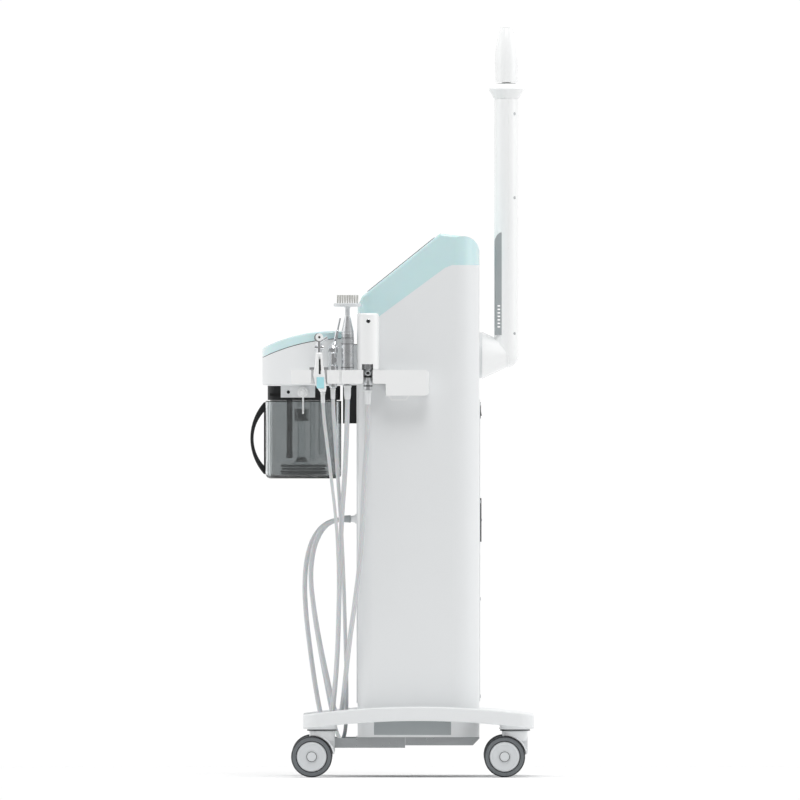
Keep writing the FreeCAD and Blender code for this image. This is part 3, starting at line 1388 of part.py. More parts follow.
def arm_spine():
    """The grey insert down the arm's front, round-topped, with a stack of vent slots through it."""
    owner = spine_block("arm_spine", "0", "spine_width")
    soften(owner, "5", lambda e: upright(e) and e.BoundBox.XMax < number(f"{SPINE_BACK} - spine_depth") + 0.1)
    slots = sketch(owner, "XZ")
    for row in range(7):
        height = f"{SPINE_LOW} + {14 + 6.4 * row:.1f}"
        rectangle(slots, f"{SPINE_BACK} - 7.5", height, f"{SPINE_BACK} - 2.5", f"{height} + 2.6")
    pocket(owner, slots, None, midplane=True)
    return keep("arm_spine", owner)


ARM_SCREWS = ("arm_top - 28", "arm_top - 182", "arm_height + 40")


def screw_places():
    """Each arm screw's height and its turn about the arm, on both flanks of the rear half."""
    return [(height, turn) for height in ARM_SCREWS for turn in (-47, 47)]


def on_arm(thing, height, turn):
    """Points an object's Z axis straight out of the arm."""
    rotation = FreeCAD.Rotation(VECTOR(0, 0, 1), turn) * FreeCAD.Rotation(VECTOR(0, 1, 0), 90)
    thing.Placement = FreeCAD.Placement(VECTOR(), rotation)
    for letter, place in zip("xyz", (ARM_X, "0", height)):
        thing.setExpression(f"Placement.Base.{letter}", bound(place))
    return thing


def arm_screws():
    """Dark screw heads, each in a shallow counterbore."""
    heads = [on_arm(turned(f"arm_screw_{i}", [
        ("0", "arm_radius - 1.2"), ("2.6", "arm_radius - 1.2"), ("2.6", "arm_radius"), ("2", "arm_radius + 0.5"),
        ("0", "arm_radius + 0.5"),
    ]), *place) for i, place in enumerate(screw_places())]
    return keep("arm_screws", group("arm_screws", *heads))


def arm_shells():
    """The arm's front and rear halves, hollow, with the journal's bore and a seat for the spine."""
    outer, inner = arm_solid("arm_outer", "0"), arm_solid("arm_inner", "arm_wall")
    bore = rod("arm_bore", "pivot_radius + fit_gap", "20", f"{ELBOW_FACE} - 5", "0", "arm_height", *ALONG_X)
    seat = spine_block("spine_seat", "0.2", "3 * arm_radius")
    sinks = []
    for i, place in enumerate(screw_places()):
        sink = turned(f"screw_sink_{i}", [
            ("0", "arm_radius - 1.2"), ("2.8", "arm_radius - 1.2"), ("2.8", "arm_radius + 3"), ("0", "arm_radius + 3"),
        ])
        sinks.append(on_arm(sink, *place))
    hollow = cut("arm_hollow", outer, inner, bore, seat, *sinks)
    seam = f"({ARM_X} + 4)"
    front = block("front_side", f"{ARM_X} - 80", f"{seam} - 0.2", "-80", "80", "arm_height - 80", "arm_top + 10")
    rear = block("rear_side", f"{seam} + 0.2", f"{ARM_X} + 80", "-80", "80", "arm_height - 80", "arm_top + 10")
    return keep("arm_shells", group("arm_shells", overlap("arm_front", hollow, front), overlap("arm_rear", hollow, rear)))


def arm_collar():
    """The flared cup at the top of the arm, with a shallow dome and a spigot that the nozzle turns on."""
    made = turned("arm_collar", [
        ("0", "0"), ("arm_radius", "0"), ("arm_radius + 1", "0.8"), ("collar_radius", "collar_rise - 1"),
        ("collar_radius - 0.4", "collar_rise + 0.4"), ("17", "collar_height - 1"), ("7.7", "collar_height"),
        ("7.7", "collar_height + 12"), ("0", "collar_height + 12"),
    ], {4: ("collar_radius - 6.5", "collar_rise + 5.8")})
    return keep("arm_collar", put(made, ARM_X, "0", "arm_top"))


def nozzle_head():
    """The hollow tapered mist nozzle, open at its tip, which turns on the collar."""
    made = turned("nozzle_head", [
        ("8", "0"), ("nozzle_radius", "0"), ("nozzle_radius + 0.8", "28"), ("nozzle_tip_radius + 1", "nozzle_length - 4"),
        ("nozzle_tip_radius - 1.5", "nozzle_length"), ("6", "nozzle_length"), ("6", "nozzle_length - 14"),
        ("nozzle_radius - 5", "40"), ("nozzle_radius - 4", "4"), ("8", "4"),
    ], {2: ("nozzle_radius - 1.6", "nozzle_length - 37"), 3: ("nozzle_tip_radius + 0.2", "nozzle_length - 1.1")})
    return keep("nozzle_head", put(made, ARM_X, "0", f"{COLLAR_TOP} + 0.8"))


# ---------------------------------------------------------------- hoses

OUTLET_Y = {"gun": "10", "jet": "41", "pen": "-20", "wand": "-50"}


def hose_outlets():
    """Four flanged outlets on the front panel, each with a short socket for its hose."""
    made = []
    for name, y in OUTLET_Y.items():
        outlet = turned(f"outlet_{name}", [
            ("0", "0"), ("9", "0"), ("9", "2"), ("7.5", "3"), ("6.5", "3"), (f"{name}_hose / 2 + 1.2", "outlet_reach - 1"),
            (f"{name}_hose / 2", "outlet_reach"), ("0", "outlet_reach"),
        ])
        made.append(put(outlet, PANEL_FACE, y, "outlet_height", *TOWARDS_FRONT))
    return keep("hose_outlets", group("hose_outlets", *made))


# where each hose leaves its handpiece
HOSE_STARTS = {
    "gun": (f"{COLUMN_FRONT} - gun_place + 7", f"{HANDPIECE_Y} - 5", "rail_top - 40.5"),
    "jet": (f"{COLUMN_FRONT} - jet_place", HANDPIECE_Y, "rail_top - 33"),
    "pen": (f"{COLUMN_FRONT} - pen_place", HANDPIECE_Y, "rail_top - 28"),
    "wand": (f"{COLUMN_FRONT} - wand_place", HANDPIECE_Y, "rail_top - 37"),
}
# each hose's route from its handpiece to its outlet, chosen by hand for the sizes above
ROUTES = {
    "gun": [
        (-126.5, -199, 704.5), (-126.5, -199, 672), (-119, -198, 612), (-111, -197, 545), (-102, -196, 470),
        (-98, -193, 392), (-98, -185, 315), (-100, -170, 240), (-103, -152, 175), (-107, -134, 120), (-112, -106, 86),
        (-118, -70, 76), (-125, -34, 82), (-132, -8, 114), (-140, 5, 165), (-149, 9, 222), (-157, 10, 283),
        (-161, 10, 345), (-156, 10, 405), (-139, 10, 448), (-108, 10, 472), (-76, 10, 472),
    ],
    "jet": [
        (-108, -194, 712), (-108, -194, 682), (-104, -190, 625), (-100, -183, 560), (-95, -174, 490), (-91, -163, 418),
        (-88, -152, 345), (-86, -138, 272), (-84, -123, 205), (-83, -106, 145), (-84, -84, 98), (-88, -54, 70),
        (-95, -18, 66), (-104, 16, 86), (-114, 35, 132), (-125, 40, 190), (-137, 41, 255), (-147, 41, 320),
        (-149, 41, 385), (-138, 41, 438), (-110, 41, 472), (-76, 41, 472),
    ],
    "pen": [
        (-81.5, -194, 717), (-81.5, -194, 686), (-83, -193, 626), (-86, -191, 555), (-92, -188, 478), (-95, -181, 400),
        (-97, -171, 322), (-99, -155, 245), (-103, -136, 182), (-108, -118, 128), (-115, -94, 94), (-123, -62, 88),
        (-131, -38, 112), (-141, -25, 166), (-150, -21, 230), (-158, -20, 296), (-161, -20, 356), (-155, -20, 412),
        (-137, -20, 452), (-107, -20, 472), (-76, -20, 472),
    ],
    "wand": [
        (-44, -194, 708), (-44, -194, 676), (-46, -195, 615), (-51, -196, 545), (-54, -196, 470), (-58, -195, 397),
        (-67, -190, 325), (-77, -177, 255), (-84, -160, 194), (-89, -142, 144), (-94, -117, 110), (-100, -87, 106),
        (-107, -61, 126), (-117, -52, 172), (-131, -50, 236), (-143, -50, 304), (-150, -50, 362), (-146, -50, 416),
        (-131, -50, 454), (-105, -50, 472), (-76, -50, 472),
    ],
}


def route(name):
    """The hose's points, of which the ends follow the handpiece and the outlet and the rest go along in part."""
    planned = [VECTOR(*p) for p in ROUTES[name]]
    start = VECTOR(*[number(v) for v in HOSE_STARTS[name]]) - planned[0]
    end = VECTOR(number(f"{PANEL_FACE} - outlet_reach"), number(OUTLET_Y[name]), number("outlet_height")) - planned[-1]
    steps = len(planned) - 3
    shares = [min(max(i - 1, 0) / steps, 1) for i in range(len(planned))]
    return [point + start * (1 - share) + end * share for point, share in zip(planned, shares)]


def smooth_path(points):
    """Straight runs joined by tangent arcs, each as large as its two runs allow. Returns the edges and the radii."""
    edges, radii, start = [], [], points[0]
    for before, corner, after in zip(points, points[1:], points[2:]):
        back, ahead = before - corner, after - corner
        run = min(back.Length, ahead.Length)
        turn = math.pi - back.getAngle(ahead)
        radius = 0.45 * run / math.tan(turn / 2)
        enter = corner + back.normalize() * 0.45 * run
        leave = corner + ahead.normalize() * 0.45 * run
        inward = (back + ahead).normalize()
        centre = corner + inward * (radius / math.cos(turn / 2))
        through = centre - inward * radius
        edges += [Part.LineSegment(start, enter).toShape(), Part.Arc(enter, through, leave).toShape()]
        radii.append(radius)
        start = leave
    edges.append(Part.LineSegment(start, points[-1]).toShape())
    return edges, radii


def hose(name):
    """A plain round tube along the route, which is closed at both ends."""
    diameter = number(f"{name}_hose")
    points = route(name)
    edges, radii = smooth_path(points)
    wire = Part.Wire(edges)
    ring = Part.Wire([Part.Circle(points[0], points[1] - points[0], diameter / 2).toShape()])
    tube = wire.makePipeShell([ring], True, False)
    expected = math.pi * diameter**2 / 4 * wire.Length
    share = tube.Volume / expected
    print(f"{name} hose: {wire.Length:.0f} mm long, tightest radius {min(radii):.0f} mm, volume share {share:.3f}")
    made = DOC.addObject("Part::Feature", f"{name}_hose_tube")
    made.Shape = tube
    made.Placement = FreeCAD.Placement()
    return keep(f"{name}_hose", made)


# ---------------------------------------------------------------- the whole trolley

def build():
    seat_stems(base_plate())
    caster_stems()
    for corner, (x, y) in CORNERS.items():
        caster(corner, x, y)
    hose_tray()
    ballast_plate()
    column_shell()
    top_cover()
    touch_screen()
    front_panel()
    rear_panel()
    mains_inlet()
    power_switch()
    power_rocker()
    column_frame()
    vacuum_pump()
    air_compressor()
    electronics_module()
    bottle_housing()
    bottle_lid()
    solution_bottles()
    jar_sleeve()
    waste_jar()
    jar_lid()
    jar_pipes()
    jar_handle()
    jar_carrier()
    latch_lever()
    jar_backplate()
    handpiece_holder()
    gun_grip()
    gun_head()
    gun_trigger()
    jet_injector()
    pen_body()
    brush_hub()
    brush_bristles()
    wand_body()
    wand_connector()
    arm_mount()
    arm_shells()
    arm_screws()
    arm_spine()
    arm_collar()
    nozzle_head()
    hose_outlets()
    for name in ROUTES:
        hose(name)


def check_and_write():
    """Stops on any object that failed or any sub-part that isn't a sound solid, and then writes the files."""
    DOC.recompute()
    failed = [o.Name for o in DOC.Objects if {"Invalid", "Error"} & set(o.State)]
    if failed:
        raise SystemExit(f"these objects failed: {failed}")
    for node, thing in PARTS.items():
        shape = thing.Shape
        if shape.isNull() or not shape.isValid() or not shape.Solids:
            raise SystemExit(f"{node} has no sound solid")
    os.makedirs("parts", exist_ok=True)
    for node, thing in PARTS.items():
        thing.Shape.exportStep(os.path.join("parts", f"{node}.step"))
    print(f"{len(PARTS)} sub-parts written")


fill_sheet()
PROBE = DOC.addObject("App::FeaturePython", "Probe")
PROBE.addProperty("App::PropertyFloat", "Value")
build()
check_and_write()
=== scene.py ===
"""Finishes and detail for a facial treatment trolley, built round its CAD frame.

+X points to the back of the trolley, +Z up, the floor is Z = 0, and lengths are in metres.
"""

import math

import bmesh
import bpy
from mathutils import Matrix, Vector


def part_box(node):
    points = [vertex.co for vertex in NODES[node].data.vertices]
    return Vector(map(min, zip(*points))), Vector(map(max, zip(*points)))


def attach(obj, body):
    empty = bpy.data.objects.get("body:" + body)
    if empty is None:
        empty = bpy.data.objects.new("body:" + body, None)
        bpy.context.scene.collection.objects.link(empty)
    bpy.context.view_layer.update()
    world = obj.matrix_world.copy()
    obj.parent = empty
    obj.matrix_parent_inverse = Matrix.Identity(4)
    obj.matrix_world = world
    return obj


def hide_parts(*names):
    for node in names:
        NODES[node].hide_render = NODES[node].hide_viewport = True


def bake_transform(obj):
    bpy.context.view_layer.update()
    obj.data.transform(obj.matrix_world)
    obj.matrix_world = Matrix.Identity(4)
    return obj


bl_info = {
    "name": "Facial Treatment Trolley",
    "version": (1, 0, 0),
    "blender": (4, 5, 0),
    "location": "3D View > Sidebar > Trolley",
    "description": "Hoses, finishes, bristles, screws and trim for a facial treatment trolley",
    "category": "Object",
}

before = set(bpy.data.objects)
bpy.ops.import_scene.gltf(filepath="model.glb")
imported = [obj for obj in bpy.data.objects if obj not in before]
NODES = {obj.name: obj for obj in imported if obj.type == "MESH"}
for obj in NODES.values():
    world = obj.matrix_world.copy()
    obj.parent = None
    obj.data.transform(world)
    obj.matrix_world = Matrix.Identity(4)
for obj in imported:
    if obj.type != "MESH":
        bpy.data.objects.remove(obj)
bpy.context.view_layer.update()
MM = 0.001


# ---------------------------------------------------------------- helpers

def linear(code):
    """An sRGB hex colour as linear RGBA."""
    values = [int(code[i:i + 2], 16) / 255 for i in (1, 3, 5)]
    return tuple(v / 12.92 if v <= 0.04045 else ((v + 0.055) / 1.055) ** 2.4 for v in values) + (1.0,)


def add(tree, kind, settings=None, **inputs):
    """Adds a node. settings are its properties, and inputs its sockets by name, with _ for a space: a socket is
    linked, a value is set, and a list fills the sockets that share one name."""
    made = tree.nodes.new(kind)
    for name, value in (settings or {}).items():
        setattr(made, name, value)
    for name, value in inputs.items():
        sockets = [s for s in made.inputs if s.enabled and s.name == name.replace("_", " ")]
        for i, given in enumerate(value if isinstance(value, list) else [value]):
            if isinstance(given, bpy.types.NodeSocket):
                tree.links.new(given, sockets[i])
            else:
                sockets[i].default_value = given
    return made


def centre_of(name):
    low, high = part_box(name)
    return (low + high) / 2


def link(name, mesh, material=None):
    """A new object at the origin that holds the mesh."""
    made = bpy.data.objects.new(name, mesh)
    bpy.context.scene.collection.objects.link(made)
    if material:
        made.data.materials.clear()
        made.data.materials.append(material)
    return made


def settle(piece, body, slot, *replaced):
    """Rides a finished piece on its body and hides the nodes that it stands for; its slot is not used."""
    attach(piece, body)
    if replaced:
        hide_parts(*replaced)
    return piece


def mesh_from(name, made, smooth_angle=35):
    """A mesh from bmesh geometry, closed, facing outwards and smooth up to an angle."""
    bmesh.ops.remove_doubles(made, verts=made.verts, dist=1e-6)
    bmesh.ops.recalc_face_normals(made, faces=made.faces)
    mesh = bpy.data.meshes.new(name)
    made.to_mesh(mesh)
    made.free()
    mesh.shade_smooth()
    mesh.set_sharp_from_angle(angle=math.radians(smooth_angle))
    return mesh


def lathe(made, profile, place, axis="Z", steps=48, flip=1):
    """Turns a profile of (radius, height) points, in millimetres, about an axis through a place."""
    turn = {"Z": Matrix.Identity(3), "X": Matrix.Rotation(math.pi / 2, 3, "Y"),
            "Y": Matrix.Rotation(-math.pi / 2, 3, "X")}[axis]
    rings = []
    for radius, height in profile:
        count = 1 if radius == 0 else steps
        rings.append([made.verts.new(Vector(place) + turn @ (Vector((
            radius * math.cos(2 * math.pi * i / steps), radius * math.sin(2 * math.pi * i / steps),
            flip * height)) * MM)) for i in range(count)])
    for low, high in zip(rings, rings[1:] + rings[:1]):
        for i in range(steps):
            j = (i + 1) % steps
            corners = []
            for v in (low[i % len(low)], low[j % len(low)], high[j % len(high)], high[i % len(high)]):
                if v not in corners:
                    corners.append(v)
            if len(corners) > 2:
                made.faces.new(corners)


def turned(name, profiles, smooth_angle=35, steps=48):
    """A mesh of turned parts: (profile, place) or (profile, place, axis, flip) each."""
    made = bmesh.new()
    for profile, place, *rest in profiles:
        axis, flip = (rest + ["Z", 1][len(rest):])[:2]
        lathe(made, profile, place, axis, steps, flip)
    return mesh_from(name, made, smooth_angle)


def fit(name, shape, finish, body, slot, *replaced):
    """Settles a named piece with its finish. Its shape is a mesh, or a list of profiles for turned()."""
    mesh = turned(name, shape) if isinstance(shape, list) else shape
    return settle(link(name, mesh, MATERIALS[finish]), body, slot, *replaced)


def pillow(made, low, high, radius, steps=3):
    """A box between two corners with every edge rounded."""
    low, high = Vector(low), Vector(high)
    cube = bmesh.ops.create_cube(made, size=1, matrix=Matrix.LocRotScale((low + high) / 2, None, high - low))
    edges = list({e for v in cube["verts"] for e in v.link_edges})
    bmesh.ops.bevel(made, geom=edges, offset=radius, segments=steps, profile=0.5, affect="EDGES")


def curve_mesh(curve, name):
    """A curve's tube, or its bare line, as a mesh."""
    holder = bpy.data.objects.new(name, curve)
    bpy.context.scene.collection.objects.link(holder)
    bpy.context.view_layer.update()
    mesh = bpy.data.meshes.new_from_object(holder.evaluated_get(bpy.context.evaluated_depsgraph_get()))
    bpy.data.objects.remove(holder)
    return mesh


def spline(name, points, radius, resolution=8, sides=5):
    """A smooth open spline through the space that the points guide."""
    curve = bpy.data.curves.new(name, "CURVE")
    curve.dimensions = "3D"
    line = curve.splines.new("NURBS")
    line.points.add(len(points) - 1)
    for point, place in zip(line.points, points):
        point.co = (*place, 1)
    line.order_u = 3
    line.use_endpoint_u = True
    line.resolution_u = resolution
    curve.bevel_depth = radius
    curve.bevel_resolution = sides
    curve.use_fill_caps = True
    return curve


def line_of(curve, name):
    """The points along a curve's own centre line."""
    bare = curve.copy()
    bare.bevel_depth = 0
    mesh = curve_mesh(bare, name)
    return [v.co.copy() for v in mesh.vertices]


def repeated(name, base, tree, values, material):
    """Runs a Geometry Nodes tree on a base mesh and returns the realised result as a plain mesh."""
    holder = link(name, base)
    modifier = holder.modifiers.new("Repeat", "NODES")
    modifier.node_group = tree
    for item in tree.interface.items_tree:
        if item.in_out == "INPUT" and item.name in values:
            modifier[item.identifier] = values[item.name]
        elif item.in_out == "INPUT" and item.name == "Material":
            modifier[item.identifier] = material
    bpy.context.view_layer.update()
    mesh = bpy.data.meshes.new_from_object(holder.evaluated_get(bpy.context.evaluated_depsgraph_get()))
    if len(mesh.polygons) == 0:
        raise RuntimeError(f"{name}: its tree made no faces")
    holder.modifiers.remove(modifier)
    bpy.data.objects.remove(holder)
    mesh.name = name
    return mesh


def points_mesh(name, places):
    mesh = bpy.data.meshes.new(name)
    mesh.from_pydata([tuple(p) for p in places], [], [])
    return mesh


def new_tree(name, inputs):
    """A Geometry Nodes tree with its named inputs, and its group input node."""
    tree = bpy.data.node_groups.new(name, "GeometryNodeTree")
    face = tree.interface
    face.new_socket("Geometry", in_out="OUTPUT", socket_type="NodeSocketGeometry")
    face.new_socket("Geometry", in_out="INPUT", socket_type="NodeSocketGeometry")
    for label, kind, value in inputs:
        socket = face.new_socket(label, in_out="INPUT", socket_type=f"NodeSocket{kind}")
        if value is not None:
            socket.default_value = value
    face.new_socket("Material", in_out="INPUT", socket_type="NodeSocketMaterial")
    return tree, add(tree, "NodeGroupInput").outputs


def close_tree(tree, given, geometry):
    """Ends a tree: instances made real, then their material."""
    real = add(tree, "GeometryNodeRealizeInstances", Geometry=geometry)
    done = add(tree, "GeometryNodeSetMaterial", Geometry=real.outputs[0], Material=given["Material"])
    add(tree, "NodeGroupOutput", Geometry=done.outputs[0])


# ---------------------------------------------------------------- settings

def span(name, description, default):
    return bpy.props.FloatProperty(name=name, description=description, default=default, unit="LENGTH")


def hue(name, description, code):
    return bpy.props.FloatVectorProperty(name=name, description=description, default=linear(code)[:3],
                                         subtype="COLOR")


class TrolleyStage(bpy.types.PropertyGroup):
    """The camera's place and the studio's light."""
    view_width: span("View Width", "Width of the view at the trolley's near side", 1.464)
    view_centre: bpy.props.FloatVectorProperty(
        name="View Centre", description="X and Z of the middle of the view", default=(0.0146, 0.690), size=2,
        unit="LENGTH")
    lens: bpy.props.FloatProperty(name="Lens", description="Focal length in millimetres", default=1600.0)
    sky: bpy.props.FloatProperty(name="Surroundings", description="Brightness of the white room", default=1.0)
    front_fill: bpy.props.FloatProperty(
        name="Front Fill", description="Share of the room's light that comes from the viewer's side", default=0.30)
    key_power: bpy.props.FloatProperty(
        name="Key Power", description="Power of each soft side light", default=4.0, unit="POWER")
    backdrop: hue("Backdrop", "Colour of floor and backdrop", "#FFFFFF")


class TrolleyHoses(bpy.types.PropertyGroup):
    """Outside diameters of the four hoses."""
    gun: span("Gun Hose", "Diameter", 0.006)
    jet: span("Jet Hose", "Diameter", 0.007)
    pen: span("Pen Hose", "Diameter", 0.009)
    wand: span("Wand Hose", "Diameter", 0.009)


class TrolleyBrush(bpy.types.PropertyGroup):
    """The cleansing brush's bristles."""
    tuft_spacing: span("Tuft Spacing", "Distance between rows of tufts", 0.0040)
    filament: span("Filament", "Radius of one filament", 0.00042)
    lean: bpy.props.FloatProperty(
        name="Lean", description="Largest lean of a tuft", default=math.radians(3.0), subtype="ANGLE")
    seed: bpy.props.IntProperty(name="Seed", description="Seed of the tufts' lean", default=7)


class TrolleyTrim(bpy.types.PropertyGroup):
    """Screws, knurls and other repeated trim."""
    screw_radius: span("Screw Head", "Radius of a panel screw's head", 0.0032)
    screw_rise: span("Head Height", "How far a head stands proud", 0.0011)
    knurl_ribs: bpy.props.IntProperty(
        name="Knurl Ribs", description="Ribs round the wand's coupling ring", default=36)


class TrolleyColours(bpy.types.PropertyGroup):
    """The colours that a user would change."""
    shell: hue("Shell", "White plastic", "#EDEFF0")
    aqua: hue("Aqua", "Tinted acrylic cover and lid", "#D0ECEE")
    smoke: hue("Smoke", "Waste jar", "#C9CACA")
    hose: hue("Hose", "Silicone hoses", "#D2D5D7")
    tyre: hue("Tyre", "Caster tyres", "#303336")
    # the trigger's aqua; its finish adds a soft painted glow by emission
    button: hue("Button", "Lit aqua button", "#A9DCE3")


GROUPS = {
    "trolley_stage": TrolleyStage,
    "trolley_hoses": TrolleyHoses,
    "trolley_brush": TrolleyBrush,
    "trolley_trim": TrolleyTrim,
    "trolley_colours": TrolleyColours,
}


# ---------------------------------------------------------------- materials

MATERIALS = {}


def tone(colour, change):
    """A colour made lighter or darker by a share."""
    return tuple(min(1.0, c * (1 + change)) for c in colour[:3]) + (1.0,)


def surface(name, colour, rough, mottle, mottle_mm, bump, bump_mm, rough_spread=0.04, stretch=None, **shader):
    """A Principled finish: a colour that drifts by mottle over mottle_mm, a roughness that wanders with it, and
    relief bump metres deep in grains bump_mm wide. stretch scales the grain along X, Y and Z."""
    made = bpy.data.materials.new(name)
    made.use_nodes = True
    tree = made.node_tree
    tree.nodes.clear()
    where = add(tree, "ShaderNodeTexCoord").outputs["Object"]
    grain = where
    if stretch:
        grain = add(tree, "ShaderNodeMapping", Vector=where, Scale=stretch).outputs[0]
    drift = add(tree, "ShaderNodeTexNoise", Vector=where, Scale=1 / (mottle_mm * MM), Detail=2.0)
    shade = add(tree, "ShaderNodeMix", {"data_type": "RGBA"}, Factor=drift.outputs[0],
                A=tone(colour, -mottle), B=tone(colour, mottle))
    polish = add(tree, "ShaderNodeMapRange", Value=drift.outputs[0], From_Min=0.3, From_Max=0.7,
                 To_Min=max(0.02, rough - rough_spread), To_Max=rough + rough_spread)
    relief = add(tree, "ShaderNodeTexNoise", Vector=grain, Scale=1 / (bump_mm * MM), Detail=3.0)
    raised = add(tree, "ShaderNodeBump", Height=relief.outputs[0], Strength=1.0, Distance=bump)
    colour_out = next(o for o in shade.outputs if o.enabled)
    body = add(tree, "ShaderNodeBsdfPrincipled", Base_Color=colour_out, Roughness=polish.outputs[0],
               Normal=raised.outputs[0])
    for socket, value in shader.items():
        body.inputs[socket.replace("_", " ")].default_value = value
    add(tree, "ShaderNodeOutputMaterial", Surface=body.outputs[0])
    MATERIALS[name] = made


def painted_edge_shade(name, rim, start):
    """Paints shade on a see-through finish: darker towards grazing angles, where the eye looks along its wall, in
    place of the dark edges that refraction and the longer path through the wall would give.
    """
    tree = MATERIALS[name].node_tree
    body = next(n for n in tree.nodes if n.type == "BSDF_PRINCIPLED")
    before = body.inputs["Base Color"].links[0].from_socket
    edge = add(tree, "ShaderNodeLayerWeight", Blend=0.5)
    share = add(tree, "ShaderNodeMapRange", Value=edge.outputs["Facing"], From_Min=start, From_Max=0.98)
    mixed = add(tree, "ShaderNodeMix", {"data_type": "RGBA"}, Factor=share.outputs[0], A=before, B=linear(rim))
    tree.links.new(next(o for o in mixed.outputs if o.enabled), body.inputs["Base Color"])


def make_materials(colours):
    """Every finish, each named for its material and how its surface was made."""
    # bright white ABS moulded in a mirror-polished tool: crisp, nearly pure white highlights
    surface("abs_bright_white_polished", linear("#FCFDFD"), 0.20, 0.004, 120, 5e-6, 1.2, rough_spread=0.01, IOR=1.53,
            Coat_Weight=0.4, Coat_Roughness=0.08)
    # ABS injection-moulded in a polished tool: a clean gloss, with an orange peel too faint to see but in reflections
    surface("abs_white_gloss_moulded", colours.shell, 0.30, 0.004, 220, 6e-6, 1.2, rough_spread=0.01, IOR=1.53)
    # cast acrylic tinted in the mass and lacquered: a wet, deep gloss over pale aqua
    surface("acrylic_aqua_tinted_cast", colours.aqua, 0.16, 0.020, 80, 4e-6, 2.5, IOR=1.49, Coat_Weight=0.6,
            Coat_Roughness=0.05, Subsurface_Weight=0.12, Subsurface_Scale=0.004)
    # chemically strengthened glass, printed black behind: mirror gloss over black
    surface("display_glass_back_printed", linear("#0B0D0F"), 0.05, 0.15, 40, 1e-6, 3.0, rough_spread=0.01, IOR=1.52,
            Coat_Weight=0.4, Coat_Roughness=0.02)
    # black ABS moulded in a spark-eroded tool: a fine satin grain, drawn at 0.4 mm
    surface("abs_black_spark_textured", linear("#17191B"), 0.42, 0.10, 25, 2.5e-5, 0.4, IOR=1.53)
    # grey ABS, lightly textured: dull and even
    surface("abs_grey_textured_moulded", linear("#A6ACAE"), 0.46, 0.03, 30, 2e-5, 0.5, IOR=1.53)
    # off-white glass-filled nylon, injection-moulded, of the wheel centres: semi-gloss
    surface("nylon_offwhite_moulded", linear("#DDE0E2"), 0.36, 0.02, 20, 1e-5, 0.8, IOR=1.53)
    # smoked polycarbonate, injection-moulded: grey glass-clear walls, with painted shade darkening them towards their
    # edges
    surface("polycarbonate_smoked_moulded", colours.smoke, 0.06, 0.03, 40, 4e-6, 6.0, rough_spread=0.02, IOR=1.58,
            Transmission_Weight=0.93)
    painted_edge_shade("polycarbonate_smoked_moulded", "#1E2022", 0.55)
    # clear polycarbonate: water clear, seen by its painted dark edges and bright glints
    surface("polycarbonate_clear_moulded", linear("#F4F8F9"), 0.04, 0.01, 50, 3e-6, 8.0, rough_spread=0.015,
            IOR=1.58, Transmission_Weight=0.98)
    painted_edge_shade("polycarbonate_clear_moulded", "#141718", 0.80)
    # thermoplastic polyurethane tyre: dark grey, matt, with a fine moulding grain
    surface("polyurethane_tyre_moulded", colours.tyre, 0.62, 0.08, 12, 4e-5, 0.6, IOR=1.49, rough_spread=0.06)
    # the tyre's side band, a paler grey
    surface("polyurethane_band_moulded", linear("#6E7275"), 0.5, 0.06, 12, 3e-5, 0.6, IOR=1.49)
    # zinc-plated mild steel sheet: pale grey, half bright, and slightly uneven in its sheen
    surface("steel_zinc_plated", linear("#B4B7B9"), 0.36, 0.025, 6, 8e-6, 0.5, rough_spread=0.10, Metallic=1.0)
    # powder-coated steel: even grey with a fine leathery skin, drawn at 0.5 mm
    surface("steel_powder_coated", linear("#A2A6A9"), 0.45, 0.02, 40, 3e-5, 0.5)
    # sand-cast and vapour-blasted aluminium housings: matt silver with a 0.8 mm grain
    surface("aluminium_cast_blasted", linear("#C9CBCC"), 0.48, 0.05, 15, 5e-5, 0.8, rough_spread=0.08, Metallic=1.0)
    # turned and satin-anodised aluminium: fine rings round the barrel, 0.25 mm apart, drawn across Z
    surface("aluminium_turned_anodised", linear("#DADCDE"), 0.27, 0.03, 20, 6e-6, 0.25, rough_spread=0.06,
            stretch=(0.05, 0.05, 1.0), Metallic=1.0)
    # chrome-plated brass: a bright mirror with hardly any haze
    surface("brass_chrome_plated", linear("#E4E6E8"), 0.09, 0.02, 12, 2e-6, 1.0, rough_spread=0.03, Metallic=1.0)
    # extruded silicone hose: milky, soft sheen, light that bleeds a little
    surface("silicone_hose_extruded", colours.hose, 0.38, 0.03, 18, 1.2e-5, 0.8, IOR=1.41, Subsurface_Weight=0.25,
            Subsurface_Scale=0.003)
    # drawn nylon filament: a grey off-white, darkened as painted shade for the gaps deep between the tufts, with a
    # soft sheen along the strand, its tufts uneven in tone
    surface("nylon_filament_painted_shade", linear("#DADAD6"), 0.42, 0.10, 3, 1e-5, 0.6, IOR=1.53)
    # grey translucent silicone of the coil in the jar
    surface("silicone_tube_grey", linear("#8B9093"), 0.30, 0.04, 12, 1e-5, 0.8, IOR=1.41, Transmission_Weight=0.5)
    # nitrile rubber seal: black and slightly dusty
    surface("nitrile_seal_moulded", linear("#1C1E1F"), 0.55, 0.10, 10, 3e-5, 0.5, IOR=1.52)
    # polycarbonate key: aqua, with a soft painted glow from its emission
    surface("polycarbonate_button_painted_glow", colours.button, 0.22, 0.03, 6, 5e-6, 1.0, IOR=1.58,
            Emission_Color=linear("#9FE0E8"), Emission_Strength=0.15)
    # blow-moulded and extruded polyethylene: milky, waxy and half matt
    surface("polyethylene_tube_extruded", linear("#C9CDCE"), 0.35, 0.03, 10, 8e-6, 0.6, IOR=1.51,
            Subsurface_Weight=0.2, Subsurface_Scale=0.002)


